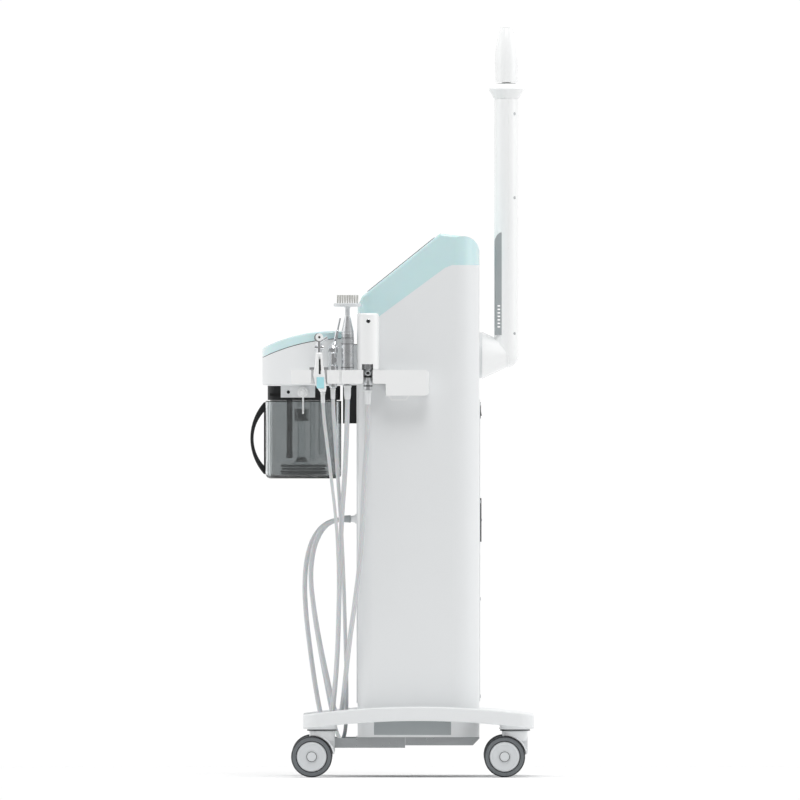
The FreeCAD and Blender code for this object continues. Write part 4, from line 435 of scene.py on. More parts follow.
FINISH_OF_SLOT = {
    "white_shell": "abs_white_gloss_moulded",
    "aqua_plastic": "acrylic_aqua_tinted_cast",
    "screen_glass": "display_glass_back_printed",
    "dark_plastic": "abs_black_spark_textured",
    "smoked_plastic": "polycarbonate_smoked_moulded",
    "clear_plastic": "polycarbonate_clear_moulded",
    "grey_plastic": "abs_grey_textured_moulded",
    "tyre_rubber": "polyurethane_tyre_moulded",
    "zinc_steel": "steel_zinc_plated",
    "frame_steel": "steel_powder_coated",
    "cast_aluminium": "aluminium_cast_blasted",
    "plated_metal": "brass_chrome_plated",
    "silver_metal": "aluminium_turned_anodised",
    "brush_plastic": "nylon_offwhite_moulded",
    "hose_rubber": "silicone_hose_extruded",
}

# nodes whose finish isn't their slot's: small handled mouldings are polished brighter than the cabinet
FINISH_OF_NODE = {
    "front_panel": "abs_white_gloss_moulded",
    "gun_trigger": "polycarbonate_button_painted_glow",
    "jar_pipes": "polyethylene_tube_extruded",
    "solution_bottles": "polyethylene_tube_extruded",
    **dict.fromkeys(("handpiece_holder", "wand_body", "gun_grip", "nozzle_head", "arm_shells", "arm_collar",
                     "latch_lever"), "abs_bright_white_polished"),
}


# ---------------------------------------------------------------- stage

class TROLLEY_OT_stage(bpy.types.Operator):
    """Make the camera, the floor, the white room and its soft lights"""
    bl_idname = "trolley.stage"
    bl_label = "Stage"

    def execute(self, context):
        given = context.scene.trolley_stage
        scene = context.scene
        scene.view_settings.view_transform = "Standard"
        centre_x, centre_z = given.view_centre
        near = -0.17  # the view's width is measured at the column's near side
        lens = bpy.data.cameras.new("camera")
        lens.lens = given.lens
        lens.sensor_width = 36
        lens.clip_start = 1
        lens.clip_end = 200
        distance = given.view_width * given.lens / 36
        camera = bpy.data.objects.new("camera", lens)
        camera.location = (centre_x, near - distance, centre_z)
        camera.rotation_euler = (math.pi / 2, 0, 0)
        scene.collection.objects.link(camera)
        scene.camera = camera

        white = bpy.data.materials.new("painted_floor_matt")
        white.use_nodes = True
        body = white.node_tree.nodes["Principled BSDF"]
        body.inputs["Base Color"].default_value = (*given.backdrop, 1)
        body.inputs["Roughness"].default_value = 0.9
        body.inputs["Specular IOR Level"].default_value = 0.1
        floor = bpy.data.meshes.new("floor")
        reach, drop = 1.7, -0.0002
        floor.from_pydata([(-reach, -reach, drop), (reach, -reach, drop), (reach, reach, drop),
                           (-reach, reach, drop)], [], [(0, 1, 2, 3)])
        link("floor", floor, white)

        self.room(scene, given)
        for name, x, y, z, size, power in (
            ("light_left", -2.4, -0.9, 1.5, 1.6, given.key_power),
            ("light_right", 2.6, -0.7, 1.6, 1.6, given.key_power * 1.4),
            ("light_top", 0.3, -1.7, 3.0, 1.1, given.key_power * 6.5),
            ("light_floor", 0.0, 0.4, 3.2, 2.4, given.key_power * 2.0),
        ):
            lamp = bpy.data.lights.new(name, "AREA")
            lamp.size = size
            lamp.energy = power
            made = bpy.data.objects.new(name, lamp)
            made.location = (x, y, z)
            aim = Vector((0, 0, 0.7)) - Vector((x, y, z))
            made.rotation_euler = aim.to_track_quat("-Z", "Y").to_euler()
            made.visible_camera = False
            scene.collection.objects.link(made)
        return {"FINISHED"}

    def room(self, scene, given):
        """White all round, a little dimmer on the viewer's side, and plain white straight behind."""
        world = bpy.data.worlds.new("room")
        scene.world = world
        world.use_nodes = True
        tree = world.node_tree
        tree.nodes.clear()
        way = add(tree, "ShaderNodeSeparateXYZ", Vector=add(tree, "ShaderNodeTexCoord").outputs["Generated"])
        level = add(tree, "ShaderNodeMapRange", {"interpolation_type": "SMOOTHSTEP"}, Value=way.outputs["Y"],
                    From_Min=-1.0, From_Max=0.1, To_Min=given.sky * given.front_fill, To_Max=given.sky)
        seen = add(tree, "ShaderNodeLightPath").outputs["Is Camera Ray"]
        brightness = add(tree, "ShaderNodeMix", Factor=seen, A=level.outputs[0], B=1.02)
        glow = add(tree, "ShaderNodeBackground", Color=(1, 1, 1, 1), Strength=brightness.outputs[0])
        add(tree, "ShaderNodeOutputWorld", Surface=glow.outputs[0])


# ---------------------------------------------------------------- hoses

# each hose by its handpiece's body: its length, and its route down to the tray and up to its outlet
HOSE_ROUTES = {
    "gun": (1.160, [
        (-0.1265, -0.199, 0.7045), (-0.1265, -0.199, 0.672), (-0.119, -0.198, 0.612), (-0.111, -0.197, 0.545),
        (-0.102, -0.196, 0.470), (-0.098, -0.193, 0.392), (-0.098, -0.185, 0.315), (-0.100, -0.170, 0.240),
        (-0.103, -0.152, 0.175), (-0.107, -0.134, 0.120), (-0.112, -0.106, 0.086), (-0.118, -0.070, 0.076),
        (-0.125, -0.034, 0.082), (-0.132, -0.008, 0.114), (-0.140, 0.005, 0.165), (-0.149, 0.009, 0.222),
        (-0.157, 0.010, 0.283), (-0.161, 0.010, 0.345), (-0.156, 0.010, 0.405), (-0.139, 0.010, 0.448),
        (-0.108, 0.010, 0.472), (-0.076, 0.010, 0.472)]),
    "jet": (1.178, [
        (-0.108, -0.194, 0.712), (-0.108, -0.194, 0.682), (-0.104, -0.190, 0.625), (-0.100, -0.183, 0.560),
        (-0.095, -0.174, 0.490), (-0.091, -0.163, 0.418), (-0.088, -0.152, 0.345), (-0.086, -0.138, 0.272),
        (-0.084, -0.123, 0.205), (-0.083, -0.106, 0.145), (-0.084, -0.084, 0.098), (-0.088, -0.054, 0.070),
        (-0.095, -0.018, 0.066), (-0.104, 0.016, 0.086), (-0.114, 0.035, 0.132), (-0.125, 0.040, 0.190),
        (-0.137, 0.041, 0.255), (-0.147, 0.041, 0.320), (-0.149, 0.041, 0.385), (-0.138, 0.041, 0.438),
        (-0.110, 0.041, 0.472), (-0.076, 0.041, 0.472)]),
    "pen": (1.117, [
        (-0.0815, -0.194, 0.717), (-0.0815, -0.194, 0.686), (-0.083, -0.193, 0.626), (-0.086, -0.191, 0.555),
        (-0.092, -0.188, 0.478), (-0.095, -0.181, 0.400), (-0.097, -0.171, 0.322), (-0.099, -0.155, 0.245),
        (-0.103, -0.136, 0.182), (-0.108, -0.118, 0.128), (-0.115, -0.094, 0.094), (-0.123, -0.062, 0.088),
        (-0.131, -0.038, 0.112), (-0.141, -0.025, 0.166), (-0.150, -0.021, 0.230), (-0.158, -0.020, 0.296),
        (-0.161, -0.020, 0.356), (-0.155, -0.020, 0.412), (-0.137, -0.020, 0.452), (-0.107, -0.020, 0.472),
        (-0.076, -0.020, 0.472)]),
    "wand": (1.070, [
        (-0.044, -0.194, 0.708), (-0.044, -0.194, 0.676), (-0.046, -0.195, 0.615), (-0.051, -0.196, 0.545),
        (-0.054, -0.196, 0.470), (-0.058, -0.195, 0.397), (-0.067, -0.190, 0.325), (-0.077, -0.177, 0.255),
        (-0.084, -0.160, 0.194), (-0.089, -0.142, 0.144), (-0.094, -0.117, 0.110), (-0.100, -0.087, 0.106),
        (-0.107, -0.061, 0.126), (-0.117, -0.052, 0.172), (-0.131, -0.050, 0.236), (-0.143, -0.050, 0.304),
        (-0.150, -0.050, 0.362), (-0.146, -0.050, 0.416), (-0.131, -0.050, 0.454), (-0.105, -0.050, 0.472),
        (-0.076, -0.050, 0.472)]),
}


class TROLLEY_OT_hoses(bpy.types.Operator):
    """Hang the four silicone hoses from their handpieces to the outlets on the column's front"""
    bl_idname = "trolley.hoses"
    bl_label = "Hoses"

    def execute(self, context):
        widths = context.scene.trolley_hoses
        for name, (length, route) in HOSE_ROUTES.items():
            wide = getattr(widths, name)
            curve = spline(f"{name}_hose_line", route, wide / 2, resolution=10, sides=6)
            path = line_of(curve, f"{name}_hose_path")
            hose = link(f"{name}_hose_tube", curve_mesh(curve, f"{name}_hose_tube"),
                        MATERIALS["silicone_hose_extruded"])
            hose.data.shade_smooth()
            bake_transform(hose)
            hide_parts(f"{name}_hose")
        return {"FINISHED"}


class TROLLEY_OT_hose_ends(bpy.types.Operator):
    """Fit a tapered relief where each hose leaves the column, and a ferrule where it meets its handpiece"""
    bl_idname = "trolley.hose_ends"
    bl_label = "Hose Ends"

    def execute(self, context):
        widths = context.scene.trolley_hoses
        cuffs, nuts = [], []
        for name, (_, route) in HOSE_ROUTES.items():
            r = getattr(widths, name) / 2 / MM
            foot = Vector(route[-1])
            # a tapered cuff, 20 mm long, with its wide end against the outlet
            cuffs.append(([(r + 0.05, 0), (r + 2.3, 0), (r + 2.6, 0.8), (r + 2.2, 3), (r + 1.9, 8), (r + 1.4, 14),
                           (r + 0.9, 19.2), (r + 0.5, 20), (r + 0.05, 20)], foot, "X", -1))
            nuts.append(([(r + 2.7, -0.2), (r + 4.3, -0.2), (r + 4.6, -0.6), (r + 4.6, -3.4), (r + 4.1, -3.9),
                          (r + 2.7, -3.9)], foot, "X", -1))
        fit("outlet_reliefs", cuffs, "abs_grey_textured_moulded", "trolley", "hose_rubber")
        self.ferrules(widths)
        return {"FINISHED"}

    def ferrules(self, widths):
        """White sleeves on the thicker hoses, and slim ones on the thin hoses, that ride with the handpieces."""
        for name, length, swell, lip in (("pen", 26, 1.9, 2.6), ("wand", 26, 1.9, 2.9), ("gun", 20, 1.0, 1.3),
                                         ("jet", 20, 1.0, 1.3)):
            r = getattr(widths, name) / 2 / MM
            top = Vector(HOSE_ROUTES[name][1][0])
            profile = [(r + 0.05, -0.3), (r + lip, -0.3), (r + lip + 0.3, -0.8), (r + lip + 0.3, -3.4),
                       (r + lip, -4), (r + swell, -4.4), (r + swell - 0.2, -length * 0.7),
                       (r + 0.7, -length + 0.8), (r + 0.4, -length), (r + 0.05, -length)]
            fit(f"{name}_hose_ferrule", [(profile, top)], "abs_white_gloss_moulded", name, "white_shell")


# ---------------------------------------------------------------- finishes on the frame

class TROLLEY_OT_finishes(bpy.types.Operator):
    """Give every CAD part its finish"""
    bl_idname = "trolley.finishes"
    bl_label = "Finishes"

    def execute(self, context):
        make_materials(context.scene.trolley_colours)
        for name, node in NODES.items():
            slot = node.data.materials[0].name.split(".")[0]
            finish = FINISH_OF_NODE.get(name, FINISH_OF_SLOT[slot])
            if name.endswith("caster_hubs"):
                finish = "nylon_offwhite_moulded"
            node.material_slots[0].link = "OBJECT"
            node.material_slots[0].material = MATERIALS[finish]
        return {"FINISHED"}


# ---------------------------------------------------------------- brush

TUFT_RADIUS = 0.00115


def bristle_tree():
    """Tufts on a square grid inside a disc, each a ring of filaments with one in the middle."""
    tree, given = new_tree("bristles", [
        ("Disc Radius", "Float", 0.022), ("Length", "Float", 0.0155), ("Spacing", "Float", 0.0038),
        ("Filament", "Float", 0.00034), ("Lean", "Float", 0.05), ("Seed", "Int", 7)])
    across = add(tree, "ShaderNodeMath", {"operation": "MULTIPLY"}, Value=[given["Disc Radius"], 2.0]).outputs[0]
    count = add(tree, "ShaderNodeMath", {"operation": "DIVIDE"}, Value=[across, given["Spacing"]]).outputs[0]
    grid = add(tree, "GeometryNodeMeshGrid", Size_X=across, Size_Y=across, Vertices_X=count, Vertices_Y=count)
    place = add(tree, "GeometryNodeInputPosition").outputs[0]
    away = add(tree, "ShaderNodeVectorMath", {"operation": "LENGTH"}, Vector=place).outputs["Value"]
    inner = add(tree, "ShaderNodeMath", {"operation": "SUBTRACT"},
                Value=[given["Disc Radius"], TUFT_RADIUS + 0.00005]).outputs[0]
    outside = add(tree, "FunctionNodeCompare", {"data_type": "FLOAT", "operation": "GREATER_THAN"}, A=away, B=inner)
    kept = add(tree, "GeometryNodeDeleteGeometry", Geometry=grid.outputs["Mesh"], Selection=outside.outputs[0])
    ring = add(tree, "GeometryNodeMeshCircle", {"fill_type": "TRIANGLE_FAN"}, Vertices=6, Radius=TUFT_RADIUS)
    strand = add(tree, "GeometryNodeMeshCone", Vertices=5, Side_Segments=1, Radius_Top=0.00026,
                 Radius_Bottom=given["Filament"], Depth=given["Length"])
    tuft = add(tree, "GeometryNodeInstanceOnPoints", Points=ring.outputs[0], Instance=strand.outputs["Mesh"])
    lean = add(tree, "ShaderNodeCombineXYZ", X=given["Lean"], Y=given["Lean"])
    back = add(tree, "ShaderNodeVectorMath", {"operation": "SCALE"}, Vector=lean.outputs[0], Scale=-1.0)
    turn = add(tree, "FunctionNodeRandomValue", {"data_type": "FLOAT_VECTOR"}, Min=back.outputs[0],
               Max=lean.outputs[0], Seed=given["Seed"])
    tufts = add(tree, "GeometryNodeInstanceOnPoints", Points=kept.outputs[0], Instance=tuft.outputs[0],
                Rotation=turn.outputs[0])
    close_tree(tree, given, tufts.outputs[0])
    return tree


class TROLLEY_OT_bristles(bpy.types.Operator):
    """Plant the brush's nylon tufts on its plate"""
    bl_idname = "trolley.bristles"
    bl_label = "Bristles"

    def execute(self, context):
        given = context.scene.trolley_brush
        low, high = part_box("brush_bristles")
        middle = (low + high) / 2
        lean_room = 0.0006
        length = high.z - low.z
        mesh = repeated("bristle_tufts", points_mesh("bristle_base", [(0, 0, 0)]), bristle_tree(), {
            "Disc Radius": (high.x - low.x) / 2 - lean_room, "Length": length - lean_room,
            "Spacing": given.tuft_spacing, "Filament": given.filament, "Lean": given.lean, "Seed": given.seed,
        }, MATERIALS["nylon_filament_painted_shade"])
        foot = min(v.co.z for v in mesh.vertices)
        mesh.transform(Matrix.Translation(Vector((middle.x, middle.y, low.z - foot))))
        settle(link("bristle_tufts", mesh), "brush", "brush_plastic", "brush_bristles")
        return {"FINISHED"}


# ---------------------------------------------------------------- screws, knurls and ribs

def screw_tree():
    """A pan head with a hexagon socket at each point, turned to face its panel."""
    tree, given = new_tree("screws", [
        ("Radius", "Float", 0.0032), ("Rise", "Float", 0.0011), ("Facing", "Rotation", None)])
    inner, socket = [add(tree, "ShaderNodeMath", {"operation": "MULTIPLY"}, Value=[given["Radius"], share]).outputs[0]
                     for share in (0.72, 0.45)]
    head = add(tree, "GeometryNodeMeshCone", Vertices=20, Side_Segments=1, Radius_Top=inner,
               Radius_Bottom=given["Radius"], Depth=given["Rise"])
    hexagon = add(tree, "GeometryNodeMeshCylinder", Vertices=6, Radius=socket, Depth=given["Rise"])
    middle = add(tree, "ShaderNodeCombineXYZ", Z=given["Rise"])
    lifted = add(tree, "GeometryNodeTransform", Geometry=hexagon.outputs["Mesh"], Translation=middle.outputs[0])
    bored = add(tree, "GeometryNodeMeshBoolean", {"operation": "DIFFERENCE", "solver": "EXACT"},
                Mesh_1=head.outputs["Mesh"], Mesh_2=lifted.outputs[0])
    placed = add(tree, "GeometryNodeInstanceOnPoints", Points=given["Geometry"], Instance=bored.outputs["Mesh"],
                 Rotation=given["Facing"])
    close_tree(tree, given, placed.outputs[0])
    return tree


def rib_tree():
    """Round ribs side by side in a ring about the Z axis."""
    tree, given = new_tree("ribs", [
        ("Count", "Int", 36), ("Ring Radius", "Float", 0.0125), ("Rib Radius", "Float", 0.0008),
        ("Height", "Float", 0.008)])
    ring = add(tree, "GeometryNodeMeshCircle", Vertices=given["Count"], Radius=given["Ring Radius"])
    rib = add(tree, "GeometryNodeMeshCylinder", Vertices=8, Radius=given["Rib Radius"], Depth=given["Height"])
    placed = add(tree, "GeometryNodeInstanceOnPoints", Points=ring.outputs[0], Instance=rib.outputs["Mesh"])
    moved = add(tree, "GeometryNodeInstanceOnPoints", Points=given["Geometry"], Instance=placed.outputs[0])
    close_tree(tree, given, moved.outputs[0])
    return tree


class TROLLEY_OT_screws(bpy.types.Operator):
    """Drive the socket-head screws that hold the panels, the inlet and the jar's carrier"""
    bl_idname = "trolley.screws"
    bl_label = "Screws"

    def execute(self, context):
        given = context.scene.trolley_trim
        tree = screw_tree()
        rear_low, rear_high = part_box("rear_panel")
        edge = 0.009
        ys = (rear_low.y + edge, rear_high.y - edge)
        zs = [rear_low.z + edge + (rear_high.z - rear_low.z - 2 * edge) * i / 3 for i in range(4)]
        inlet_low, inlet_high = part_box("mains_inlet")
        places = [(rear_high.x, y, z) for y in ys for z in zs]
        sizes = {"Radius": given.screw_radius, "Rise": given.screw_rise}
        to_back, to_side = (0, math.pi / 2, 0), (math.pi / 2, 0, 0)
        self.drive("rear_panel_screws", places, to_back, sizes, tree, "trolley")
        inset = 0.006
        self.drive("inlet_screws", [(inlet_high.x, y, (inlet_low.z + inlet_high.z) / 2) for y in
                                    (inlet_low.y + inset, inlet_high.y - inset)], to_back,
                   {"Radius": 0.0026, "Rise": 0.001}, tree, "trolley")
        # sunk in the carrier's side, so that the latch lever swings over it
        self.drive("carrier_screw", [(-0.190, -0.0698, 0.7045)], to_side, {"Radius": 0.0034, "Rise": 0.0014}, tree,
                   "trolley", "abs_black_spark_textured")
        return {"FINISHED"}

    def drive(self, name, places, facing, sizes, tree, body, finish="steel_zinc_plated"):
        values = dict(sizes)
        values["Facing"] = facing
        mesh = repeated(name, points_mesh(f"{name}_places", places), tree, values, MATERIALS[finish])
        settle(link(name, mesh), body, "zinc_steel")


class TROLLEY_OT_knurls(bpy.types.Operator):
    """Rib the gripping rings of the wand's coupling and the pen"""
    bl_idname = "trolley.knurls"
    bl_label = "Knurled Rings"

    def execute(self, context):
        given = context.scene.trolley_trim
        tree = rib_tree()
        rail_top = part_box("handpiece_holder")[1].z
        wand = centre_of("wand_connector")
        pen = centre_of("pen_body")
        for name, body, place, count, ring, rib, height, finish in (
            ("wand_coupling_ribs", "wand", (wand.x, wand.y, rail_top + 0.0063), given.knurl_ribs, 0.0105, 0.0007,
             0.0092, "brass_chrome_plated"),
            ("pen_grip_ribs", "pen", (pen.x, pen.y, rail_top + 0.052), 44, 0.0114, 0.0005, 0.010,
             "aluminium_turned_anodised"),
        ):
            mesh = repeated(name, points_mesh(f"{name}_place", [place]), tree, {
                "Count": count, "Ring Radius": ring, "Rib Radius": rib, "Height": height}, MATERIALS[finish])
            settle(link(name, mesh), body, "plated_metal")
        return {"FINISHED"}


# ---------------------------------------------------------------- caster trim

CORNERS = ("front_left", "front_right", "rear_left", "rear_right")
TRAIL = 0.019  # from a swivel's axis back to its wheels' axle

class TROLLEY_OT_casters(bpy.types.Operator):
    """Add the wheels' rims, centre caps ringed in black as painted groove shade, tyre bands and the stems' washers"""
    bl_idname = "trolley.casters"
    bl_label = "Caster Trim"

    def execute(self, context):
        for corner in CORNERS:
            low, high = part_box(f"{corner}_caster_hubs")
            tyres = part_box(f"{corner}_caster_tyres")
            middle = (low + high) / 2
            parts = {"rims": [], "caps": [], "bands": [], "grooves": []}
            for side, face, tyre_face in ((-1, low.y, tyres[0].y), (1, high.y, tyres[1].y)):
                place, outer = (middle.x, face, middle.z), (middle.x, tyre_face, middle.z)
                # on each outer face a raised rim, a low centre cap ringed by a black band painted as the shade of its
                # groove, and a paler band on the tyre
                parts["rims"].append(([(22.5, -0.4), (26.2, -0.4), (26.4, 0.2), (25.6, 0.9), (23.2, 0.9),
                                       (22.4, 0.2)], place, "Y", side))
                parts["caps"].append(([(0, -0.4), (8.4, -0.4), (8.4, 0.5), (7.6, 1.2), (4.0, 1.5), (0, 1.5)], place,
                                      "Y", side))
                parts["grooves"].append(([(8.6, -0.3), (9.5, -0.3), (9.5, 0.15), (8.6, 0.15)], place, "Y", side))
                parts["bands"].append(([(29.2, -0.8), (35.0, -0.8), (35.3, -0.1), (34.2, 0.3), (30.0, 0.3),
                                        (29.1, 0.0)], outer, "Y", side))
            for part, finish, slot in (("rims", "nylon_offwhite_moulded", "grey_plastic"),
                                       ("caps", "nylon_offwhite_moulded", "grey_plastic"),
                                       ("grooves", "abs_black_spark_textured", "dark_plastic"),
                                       ("bands", "polyurethane_band_moulded", "tyre_rubber")):
                fit(f"{corner}_wheel_{part}", parts[part], finish, f"{corner}_wheels", slot)
        stems_low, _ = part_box("caster_stems")
        washers = []
        for corner in CORNERS:
            hubs = centre_of(f"{corner}_caster_hubs")
            washers.append(([(20, 0.9), (27.5, 0.9), (27.9, 1.4), (27.5, 2.5), (20, 2.5)],
                            (hubs.x + TRAIL, hubs.y, stems_low.z)))
        fit("swivel_washers", washers, "nitrile_seal_moulded", "trolley", "dark_plastic")
        return {"FINISHED"}


# ---------------------------------------------------------------- holder and housing

def welded(name):
    """A CAD node's mesh as bmesh, its loose triangles joined and its flat faces made whole."""
    made = bmesh.new()
    made.from_mesh(NODES[name].data)
    bmesh.ops.remove_doubles(made, verts=made.verts, dist=2e-6)
    bmesh.ops.dissolve_limit(made, angle_limit=math.radians(0.5), verts=made.verts, edges=made.edges)
    return made


class TROLLEY_OT_holder(bpy.types.Operator):
    """Round the handpiece holder's block as it is moulded"""
    bl_idname = "trolley.holder"
    bl_label = "Handpiece Holder"

    def execute(self, context):
        _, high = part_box("handpiece_holder")
        made = welded("handpiece_holder")
        block = [v.co.z for v in made.verts if v.co.x > high.x - 0.001]
        radius = 0.008
        # the block's two far corners are rounded by flats laid round an arc, each cut closed again
        for level, up in ((max(block) - radius, 1), (min(block) + radius, -1)):
            for turn in range(15, 90, 15):
                way = Vector((math.cos(math.radians(turn)), 0, up * math.sin(math.radians(turn))))
                on_plane = Vector((high.x - radius, 0, level)) + way * radius
                near = [f for f in made.faces if any(v.co.x > high.x - 0.022 for v in f.verts)]
                geom = list({v for f in near for v in f.verts} | {e for f in near for e in f.edges}) + near
                cut = bmesh.ops.bisect_plane(made, geom=geom, dist=1e-7, plane_co=on_plane, plane_no=way,
                                             clear_outer=True)["geom_cut"]
                edges = [e for e in cut if isinstance(e, bmesh.types.BMEdge) and e.is_valid and e.is_boundary]
                bmesh.ops.holes_fill(made, edges=edges, sides=0)
        if any(e.is_boundary for e in made.edges):
            raise RuntimeError("the holder's block isn't closed after its corners are rounded")
        fit("holder_moulded", mesh_from("holder_moulded", made, 30), "abs_bright_white_polished", "trolley",
            "white_shell", "handpiece_holder")
        return {"FINISHED"}


class TROLLEY_OT_lid_gap_shade(bpy.types.Operator):
    """Lay a black strip on the bottle housing's rim, below the lid, as painted shade for the shadow gap under the lid
    """
    bl_idname = "trolley.housing_seal"
    bl_label = "Lid Gap Shade"

    def execute(self, context):
        low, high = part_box("bottle_housing")
        made = bmesh.new()
        made.from_mesh(NODES["bottle_housing"].data)
        bmesh.ops.remove_doubles(made, verts=made.verts, dist=2e-6)
        made.normal_update()
        rim_from, post_from = low.z + 0.045, high.x - 0.022
        gone = [f for f in made.faces if f.normal.z < 0.6 or min(v.co.z for v in f.verts) < rim_from
                or max(v.co.x for v in f.verts) > post_from and max(abs(v.co.y) for v in f.verts) < high.y - 0.0035]
        bmesh.ops.delete(made, geom=gone, context="FACES")
        if not made.faces:
            raise RuntimeError("the housing has no rim for its seal")
        middle = (low + high) / 2
        for v in made.verts:
            v.co.x = middle.x + (v.co.x - middle.x) * 0.994
            v.co.y *= 0.995
        # painted shade: the black strip stands 1.3 mm tall in the lid's gap as the gap's shadow
        top = bmesh.ops.extrude_face_region(made, geom=made.faces[:], use_keep_orig=True)
        for v in top["geom"]:
            if isinstance(v, bmesh.types.BMVert):
                v.co.z += 0.0013
        fit("lid_gap_shade", mesh_from("lid_gap_shade", made), "nitrile_seal_moulded", "trolley", "dark_plastic")
        return {"FINISHED"}


class TROLLEY_OT_under_base_shade(bpy.types.Operator):
    """Fit grey panels to the column's foot, below the base, as painted shade where the base shades the column"""
    bl_idname = "trolley.plinth"
    bl_label = "Under-Base Shade"

    def execute(self, context):
        low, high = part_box("column_shell")
        made = bmesh.new()
        # painted shade: a grey panel on each side face of the column's foot, where the base shades it
        for side in (-1, 1):
            face = high.y * side
            pillow(made, (low.x + 0.030, face - 0.0006, low.z + 0.004),
                   (high.x - 0.052, face + 0.0006, low.z + 0.031), 0.00055, 2)
        fit("under_base_shade_panels", mesh_from("under_base_shade_panels", made), "abs_grey_textured_moulded", "trolley", "grey_plastic")
        return {"FINISHED"}


# ---------------------------------------------------------------- waste jar

class TROLLEY_OT_jar(bpy.types.Operator):
    """Furnish the waste jar: its suction pipe, float guide, coiled inlet rings and dark seals"""
    bl_idname = "trolley.jar"
    bl_label = "Waste Jar"

    def execute(self, context):
        jar_low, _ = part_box("waste_jar")
        pipes_low, pipes_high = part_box("jar_pipes")
        sleeve_low, sleeve_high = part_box("jar_sleeve")
        floor = pipes_low.z
        roof = pipes_high.z
        tall = (roof - floor) / MM
        # the dark suction pipe, with a collar at its foot
        dark = [([(0, 16), (5.4, 16), (6, 17), (6, 24), (5.2, 25), (5.2, tall), (0, tall)],
                 (pipes_low.x + 0.006, 0, floor))]
        fit("suction_pipe", dark, "abs_black_spark_textured", "jar", "dark_plastic")
        # the clear float guide, and two clear breather pipes behind it
        guide = pipes_low.x + 0.028
        clear = [([(0, 0.5), (18, 0.5), (18, 3), (16, 6), (7.2, 18), (7, 60), (7, tall), (0, tall)],
                  (guide, 0, floor))]
        for place, radius, lift in ((0.048, 4.5, 10), (0.064, 4.5, 24)):
            clear.append(([(0, lift), (radius - 0.6, lift), (radius, lift + 0.8), (radius, tall), (0, tall)],
                          (pipes_low.x + place, 0, floor)))
        fit("float_guide", clear, "polycarbonate_clear_moulded", "jar", "clear_plastic")
        # the float's collar, part way up the guide
        collar = [([(7.3, 84), (12.4, 84), (13, 85), (13, 105), (12.4, 106), (7.3, 106)], (guide, 0, floor))]
        fit("float_collar", collar, "polycarbonate_smoked_moulded", "jar", "smoked_plastic", "jar_pipes")
        self.rings(jar_low)
        self.seals(sleeve_low, sleeve_high, jar_low)
        return {"FINISHED"}

    def rings(self, low):
        """Three loops of tube that lie on the jar's floor."""
        middle = centre_of("waste_jar")
        loops = bmesh.new()
        for radius, lift in ((41, 9.5), (38, 15.0), (40, 20.5)):
            profile = [(radius + 2.4 * math.cos(a * math.pi / 5), 2.4 * math.sin(a * math.pi / 5))
                       for a in range(10)]
            lathe(loops, profile, (middle.x, 0, low.z + lift * MM), steps=56)
        fit("inlet_coil", mesh_from("inlet_coil", loops, 80), "silicone_tube_grey", "jar", "hose_rubber")

    def seals(self, low, high, jar_low):
        """Rounded black seals: one round the sleeve's rim, one where the jar stands in it."""
        for name, inset, z, corner, thick in (("sleeve_rim_seal", 0.0012, high.z - 0.0004, 0.023, 0.0010),
                                              ("jar_foot_seal", 0.0058, jar_low.z + 0.0022, 0.018, 0.0018)):
            x0, x1, y1 = low.x + inset, high.x - inset, high.y - inset
            corners = [(x1 - corner, y1 - corner, 0), (x0 + corner, y1 - corner, 90), (x0 + corner, corner - y1, 180),
                       (x1 - corner, corner - y1, 270)]
            ring = [(cx + corner * math.cos(math.radians(start + step)),
                     cy + corner * math.sin(math.radians(start + step)))
                    for cx, cy, start in corners for step in range(0, 91, 10)]
            made = bmesh.new()
            sides = 10
            rings = []
            for i, (x, y) in enumerate(ring):
                bx, by = ring[i - 1]
                ax, ay = ring[(i + 1) % len(ring)]
                along = Vector((ax - bx, ay - by, 0)).normalized()
                out = Vector((along.y, -along.x, 0))
                rings.append([made.verts.new(Vector((x, y, z)) + out * thick * math.cos(2 * math.pi * k / sides)
                                             + Vector((0, 0, thick * math.sin(2 * math.pi * k / sides))))
                              for k in range(sides)])
            for one, other in zip(rings, rings[1:] + rings[:1]):
                for k in range(sides):
                    made.faces.new((one[k], one[(k + 1) % sides], other[(k + 1) % sides], other[k]))
            fit(name, mesh_from(name, made, 80), "nitrile_seal_moulded", "jar", "dark_plastic")


# ---------------------------------------------------------------- handpiece details

